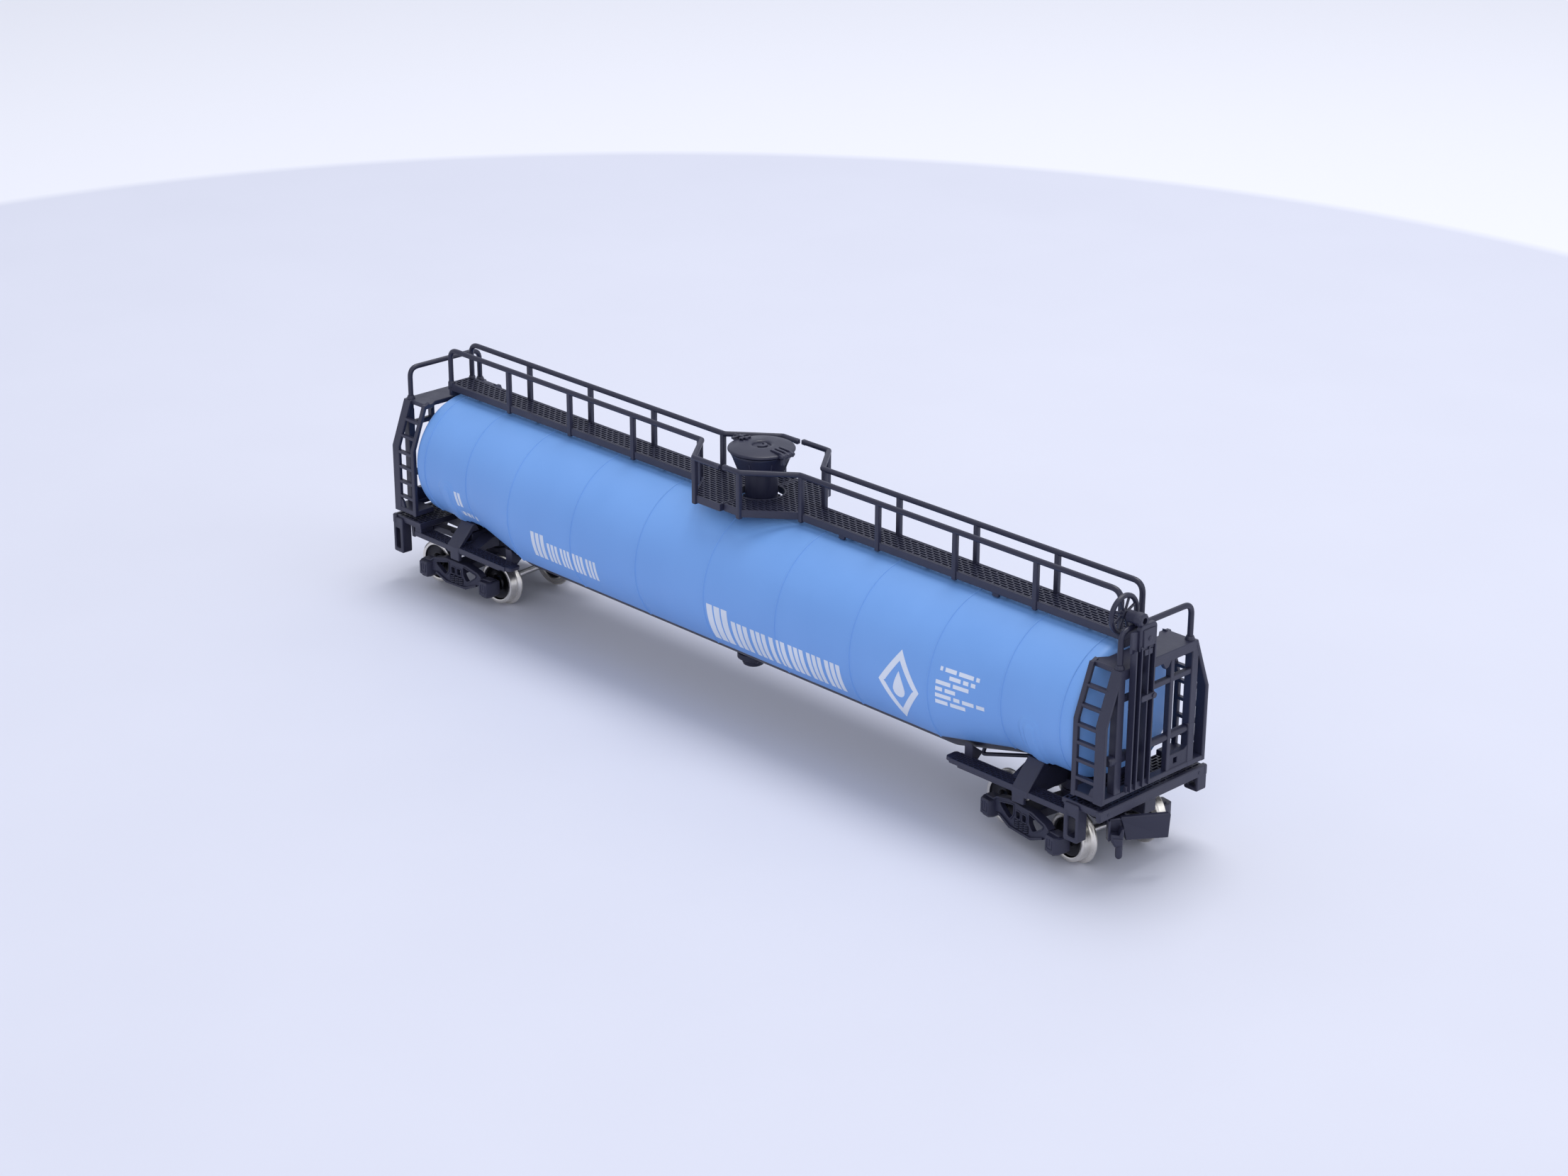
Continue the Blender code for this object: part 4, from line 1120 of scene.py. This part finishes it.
def side_view(end):
    """The frame of a truck: X outward along the wagon, Y along its axles."""
    y = Vector(JOINTS[f"wheelset_{end}1_roll"]["axis"]).normalized()
    x = Vector((y.y, -y.x, 0))
    spot = SPOTS[f"truck_{end}_swivel"]
    made = Matrix((x, y, (0, 0, 1))).transposed().to_4x4()
    made.translation = (spot.x, spot.y, 0)
    return made


def coupler_view(end):
    """The frame of a coupler: X forward, its origin on the pivot."""
    x = Vector(MOUNTS[f"coupler_face_{end}"]["axis"]).normalized()
    spot = SPOTS[f"coupler_{end}_swing"]
    made = Matrix((x, (-x.y, x.x, 0), (0, 0, 1))).transposed().to_4x4()
    made.translation = (spot.x, spot.y, 0)
    return made


def side_frame(part, side):
    """One cast side frame, with rimmed windows, springs and deep journal boxes."""
    half = [
        (0, 3.4), (3.1, 3.4), (6.4, 4.9), (8.4, 4.8), (10.9, 4.8), (10.9, 7.15), (8.2, 7.15), (7.2, 7.9),
        (3.4, 8.9), (0, 8.9),
    ]
    outline = half + [(-x, z) for x, z in reversed(half[1:-1])]
    window = rounded_loop(
        [(2.2, 8.35), (6.5, 7.35), (6.3, 6.7), (4.2, 5.2), (3.3, 4.9), (2.2, 6.2)], 0.5, 3,
    )
    square = rounded_loop(rect(0.2, 5.85, 1.6, 7.5), 0.35, 3)
    pit = rounded_loop(rect(-2.1, 3.95, 2.1, 5.5), 0.25, 2)
    windows = [window, square] + [[(-x, z) for x, z in loop] for loop in (window, square)]
    face = side * 13.15
    part.prism("XZ", outline, side * 12.0, face, 0.16, holes=[*windows, pit])
    part.prism("XZ", pit, side * 11.7, side * 12.2, 0.05)
    for loop in windows:
        part.tube([(x, face, z) for x, z in loop], 0.16, 8, closed=True)
    top = mirrored([(8.1, 7.05), (7.1, 7.8), (3.4, 8.8)])
    top += mirrored([(-8.3, 7.3), (-7.2, 8.15), (-3.4, 9.1)])
    part.prism("XZ", top, side * 11.6, side * 13.5, 0.1)
    low = [
        (-3.2, 3.2), (3.2, 3.2), (6.6, 4.7), (6.4, 5.05), (3.0, 3.7), (-3.0, 3.7), (-6.4, 5.05),
        (-6.6, 4.7),
    ]
    part.prism("XZ", low, side * 11.7, side * 13.6, 0.14)
    turns, beads = 4, 12
    for x in (-1.3, 0.0, 1.3):
        spots = []
        for k in range(beads * turns + 1):
            angle = math.tau * k / beads
            height = 3.8 + 1.75 * k / (beads * turns)
            spots.append((x + 0.48 * math.cos(angle), side * 12.85 + 0.42 * math.sin(angle), height))
        part.tube(spots, 0.17, 6)
    for end in (-1, 1):
        centre = end * HALF_WHEELBASE
        plan = mirrored([(1.8, 10.8), (1.8, 13.2), (1.15, 14.3)])
        part.prism("XY", [(centre + x, side * y) for x, y in plan], 3.55, 6.85, 0.2)
        foot = mirrored([(1.3, 11.0), (1.3, 13.0), (0.8, 14.0)])
        part.prism("XY", [(centre + x, side * y) for x, y in foot], 3.1, 3.8, 0.35)
        loop = [(centre + x, side * 14.3, z) for x, z in mirrored([(-0.7, 6.2), (-0.7, 4.3)])]
        part.tube(bent(loop, 0.35, 3), 0.14, 8)
        rib = [(centre + x, side * 14.28, z) for x, z in ((0, 6.4), (0, 5.0))]
        part.tube(rib, 0.13, 8)
        part.box((centre - 1.2, side * 11.2, 6.7), (centre + 1.2, side * 12.9, 7.18), 0.12)


def make_truck_shape():
    part = Part()
    part.box((-2.2, -12.1, 6.4), (2.2, 12.1, 8.4), 0.2)
    part.turned([(1.35, 7.0), (2.9, 7.0), (2.9, 9.4), (2.75, 9.6), (1.35, 9.6)], sides=28, closed=True)
    part.box((1.5, -2.6, 6.9), (13.4, 2.6, 7.4), 0.12)
    part.box((9.4, -2.57, 7.0), (10.1, 2.57, 9.25), 0.12)
    part.box((1.8, -2.63, 7.2), (9.6, -2.1, 8.1), 0.1)
    part.box((1.8, 2.1, 7.2), (9.6, 2.63, 8.1), 0.1)
    part.drum((COUPLER_PIVOT, 0, 6.7), (COUPLER_PIVOT, 0, 7.0), 1.0, 0.1, 18)
    for side in (-1, 1):
        side_frame(part, side)
    return part.shape


def make_coupler_shape():
    part = Part()
    plate = rounded_loop([(-1.2, 7.85), (6.9, 7.7), (7.2, 12.4), (-2.35, 12.4), (-2.0, 11.5)], 0.15, 2)
    jaw = [(-4.4, 8.6), (-3.7, 7.3), (-2.15, 7.3), (-2.0, 10.8), (-2.4, 10.8), (-2.9, 9.6), (-4.4, 9.9)]
    part.turned(
        [(0.95, 7.55), (1.5, 7.55), (1.6, 7.65), (1.6, 9.1), (1.5, 9.2), (0.95, 9.2)], sides=28,
        closed=True,
    )
    part.box((1.0, -1.05, 7.6), (8.8, 1.05, 9.15), 0.15)
    part.box((7.4, -1.0, 8.0), (8.75, 1.0, 12.0), 0.15)
    part.prism("YZ", plate, 8.4, 9.4, 0.12)
    part.box((8.3, -2.2, 12.0), (9.3, 7.0, 12.55), 0.12)
    part.box((8.35, -4.7, 8.5), (8.75, -1.0, 12.2), 0.1)
    part.box((8.38, -4.75, 8.1), (9.9, -4.25, 12.3), 0.15)
    part.box((8.45, -4.6, 11.9), (9.2, -2.0, 12.35), 0.12)
    part.prism("YZ", jaw, 9.0, 10.95, 0.2)
    part.prism("YZ", [(-4.2, 8.7), (-3.6, 7.6), (-2.3, 7.6), (-2.3, 8.9), (-4.2, 9.2)], 10.7, 11.2, 0.16)
    part.turned(
        [(0, 4.7), (0.35, 4.74), (0.58, 4.95), (0.68, 5.3), (0.68, 8.6)], (10.2, -2.7, 0), sides=18,
    )
    part.box((8.3, 2.2, 9.4), (8.6, 5.6, 11.6), 0.1)
    return part.shape


def make_trucks():
    frame_shape, hook = make_truck_shape(), make_coupler_shape()
    for end in "ab":
        view = side_view(end)
        black(Part(view).add(frame_shape), f"truck_frame_{end}", f"truck_{end}")
        cover = Part(view)
        cover.prism("XY", rounded_loop(rect(9.4, -2.6, 13.4, 2.6), 0.5, 3), 9.35, 9.62, 0.07)
        cover.turned([(0.6, 7.5), (0.75, 7.65), (0.75, 9.4)], (COUPLER_PIVOT, 0, 0), sides=20)
        cover.turned([(0.8, 9.5), (0.8, 9.66), (0.5, 9.8)], (COUPLER_PIVOT, 0, 0), sides=20)
        black(cover, f"coupler_cover_{end}", f"truck_{end}")
        black(Part(coupler_view(end)).add(hook), f"coupler_{end}", f"coupler_{end}")
        spot = view.translation
        pin = Part(Matrix.Translation((spot.x, spot.y, 0)))
        pin.turned(
            [
                (0, 5.3), (1.5, 5.32), (2.0, 5.6), (2.0, 6.1), (1.9, 6.2), (1.0, 6.2), (1.0, 12.8),
                (0.8, 13.0),
            ],
            sides=28,
        )
        steel(pin, f"kingpin_{end}", (0, 0, 1))


AXLE = ((0, 12.9), (0.25, 12.8), (0.45, 12.3), (0.45, 10.3), (0.75, 10.25), (0.75, 3), (0.68, 2.6))
WHEEL = (
    (0.85, 7.2), (2.0, 7.2), (2.2, 7.35), (3.9, 7.35), (4.1, 7.2), (5.2, 7.2), (5.42, 7.27), (5.55, 7.45),
    (5.52, 7.65), (5.3, 7.85), (5.05, 8.0), (4.92, 8.2), (4.85, 8.45), (4.76, 9.9), (4.68, 10.05),
    (4.5, 10.1), (4.0, 10.1), (3.85, 10.02), (3.65, 9.7), (3.3, 9.55), (2.2, 9.5), (1.8, 9.6),
    (1.6, 9.95), (0.85, 10.0),
)


def make_wheelsets():
    axis = (0, 1, 0)
    for end, number in product("ab", "12"):
        body = f"wheelset_{end}{number}"
        view = side_view(end)
        view.translation = SPOTS[f"{body}_roll"]
        bar = Part(view)
        profile = [(radius, -y) for radius, y in AXLE] + list(reversed(AXLE))
        bar.turned(profile, (0, 0, 0), axis, 28)
        steel(bar, f"axle_{end}{number}", axis, body)
        for name, turn in (("left", 1), ("right", -1)):
            node = f"wheel_{end}{number}_{name}"
            disc = Part(view)
            disc.turned(
                [(radius, distance * turn) for radius, distance in WHEEL], (0, 0, 0), axis, 72, True,
            )
            disc.finish(f"{node}_shape", body, [node], "wheel_nickel", NICKEL, angle=30, axis=axis)


# ---- surroundings


def make_floor():
    """A pale round table on a paler ground, its edge soft as in a soft box."""
    made = Paint("table", 0.62)
    centre, radius, soft = (-81.8, 32.6), 374.8, 3.5
    shift = made.node("ShaderNodeMapping")
    shift.inputs["Location"].default_value = (-centre[0] * MM, -centre[1] * MM, 0)
    made.link(made.place, shift.inputs["Vector"])
    length = made.node("ShaderNodeVectorMath", operation="LENGTH")
    made.link(shift.outputs["Vector"], length.inputs[0])
    share = made.spread(length.outputs["Value"], 0, 1, (radius - soft) * MM, (radius + soft) * MM)
    table = made.ramp(made.noise(60), [(0.35, (0.636, 0.650, 0.742)), (0.65, (0.648, 0.662, 0.754))])
    made.colour(made.mix(share, table, (0.80, 0.805, 0.855)))
    made.bump(made.noise(0.8, 2), 0.01)
    mesh = bmesh.new()
    bmesh.ops.create_grid(mesh, x_segments=8, y_segments=8, size=6.0)
    data = bpy.data.meshes.new("table")
    mesh.to_mesh(data)
    mesh.free()
    data.materials.append(made.material)
    floor = bpy.data.objects.new("table", data)
    bpy.context.scene.collection.objects.link(floor)


def soft_light(name, place, target, size, power, colour):
    data = bpy.data.lights.new(name, "AREA")
    data.shape = "DISK"
    data.size = size
    data.energy = power
    data.color = colour
    lamp = bpy.data.objects.new(name, data)
    lamp.location = place
    lamp.rotation_mode = "QUATERNION"
    lamp.rotation_quaternion = (Vector(place) - Vector(target)).to_track_quat("Z", "Y")
    bpy.context.scene.collection.objects.link(lamp)


def make_lights():
    world = bpy.data.worlds.new("studio")
    world.use_nodes = True
    sky = world.node_tree.nodes["Background"]
    sky.inputs["Color"].default_value = (0.855, 0.89, 1.0, 1.0)
    sky.inputs["Strength"].default_value = 0.77
    bpy.context.scene.world = world
    soft_light("overhead", (-0.10, 0.30, 1.10), (0, 0, 0), 0.65, 6.3, (1.0, 0.99, 0.98))
    soft_light("front", (0.75, -0.95, 0.85), (0, 0, 0.02), 0.9, 2.9, (0.97, 0.98, 1.0))
    soft_light("right", (1.2, 0.55, 0.55), (0.03, 0, 0.03), 0.8, 2.3, (0.96, 0.98, 1.0))


def make_camera():
    data = bpy.data.cameras.new("camera")
    data.lens = 71.15
    data.sensor_width = 36.0
    data.clip_start = 0.01
    data.clip_end = 50.0
    camera = bpy.data.objects.new("camera", data)
    place = Vector((0.4278, -0.4040, 0.2638))
    target = Vector((0.00665, 0.0, 0.02615))
    roll = math.radians(0.16)
    turn = (target - place).to_track_quat("-Z", "Y").to_matrix()
    turn = turn @ Matrix.Rotation(roll, 3, "Z")
    camera.matrix_world = Matrix.Translation(place) @ turn.to_4x4()
    bpy.context.scene.collection.objects.link(camera)
    bpy.context.scene.camera = camera


make_tank()
make_belly()
make_ballast()
make_marks()
make_walkway()
make_manway()
make_end_frames()
make_hand_brake()
make_underframes()
make_trucks()
make_wheelsets()
make_floor()
make_lights()
make_camera()
bpy.context.scene.view_settings.view_transform = "Standard"
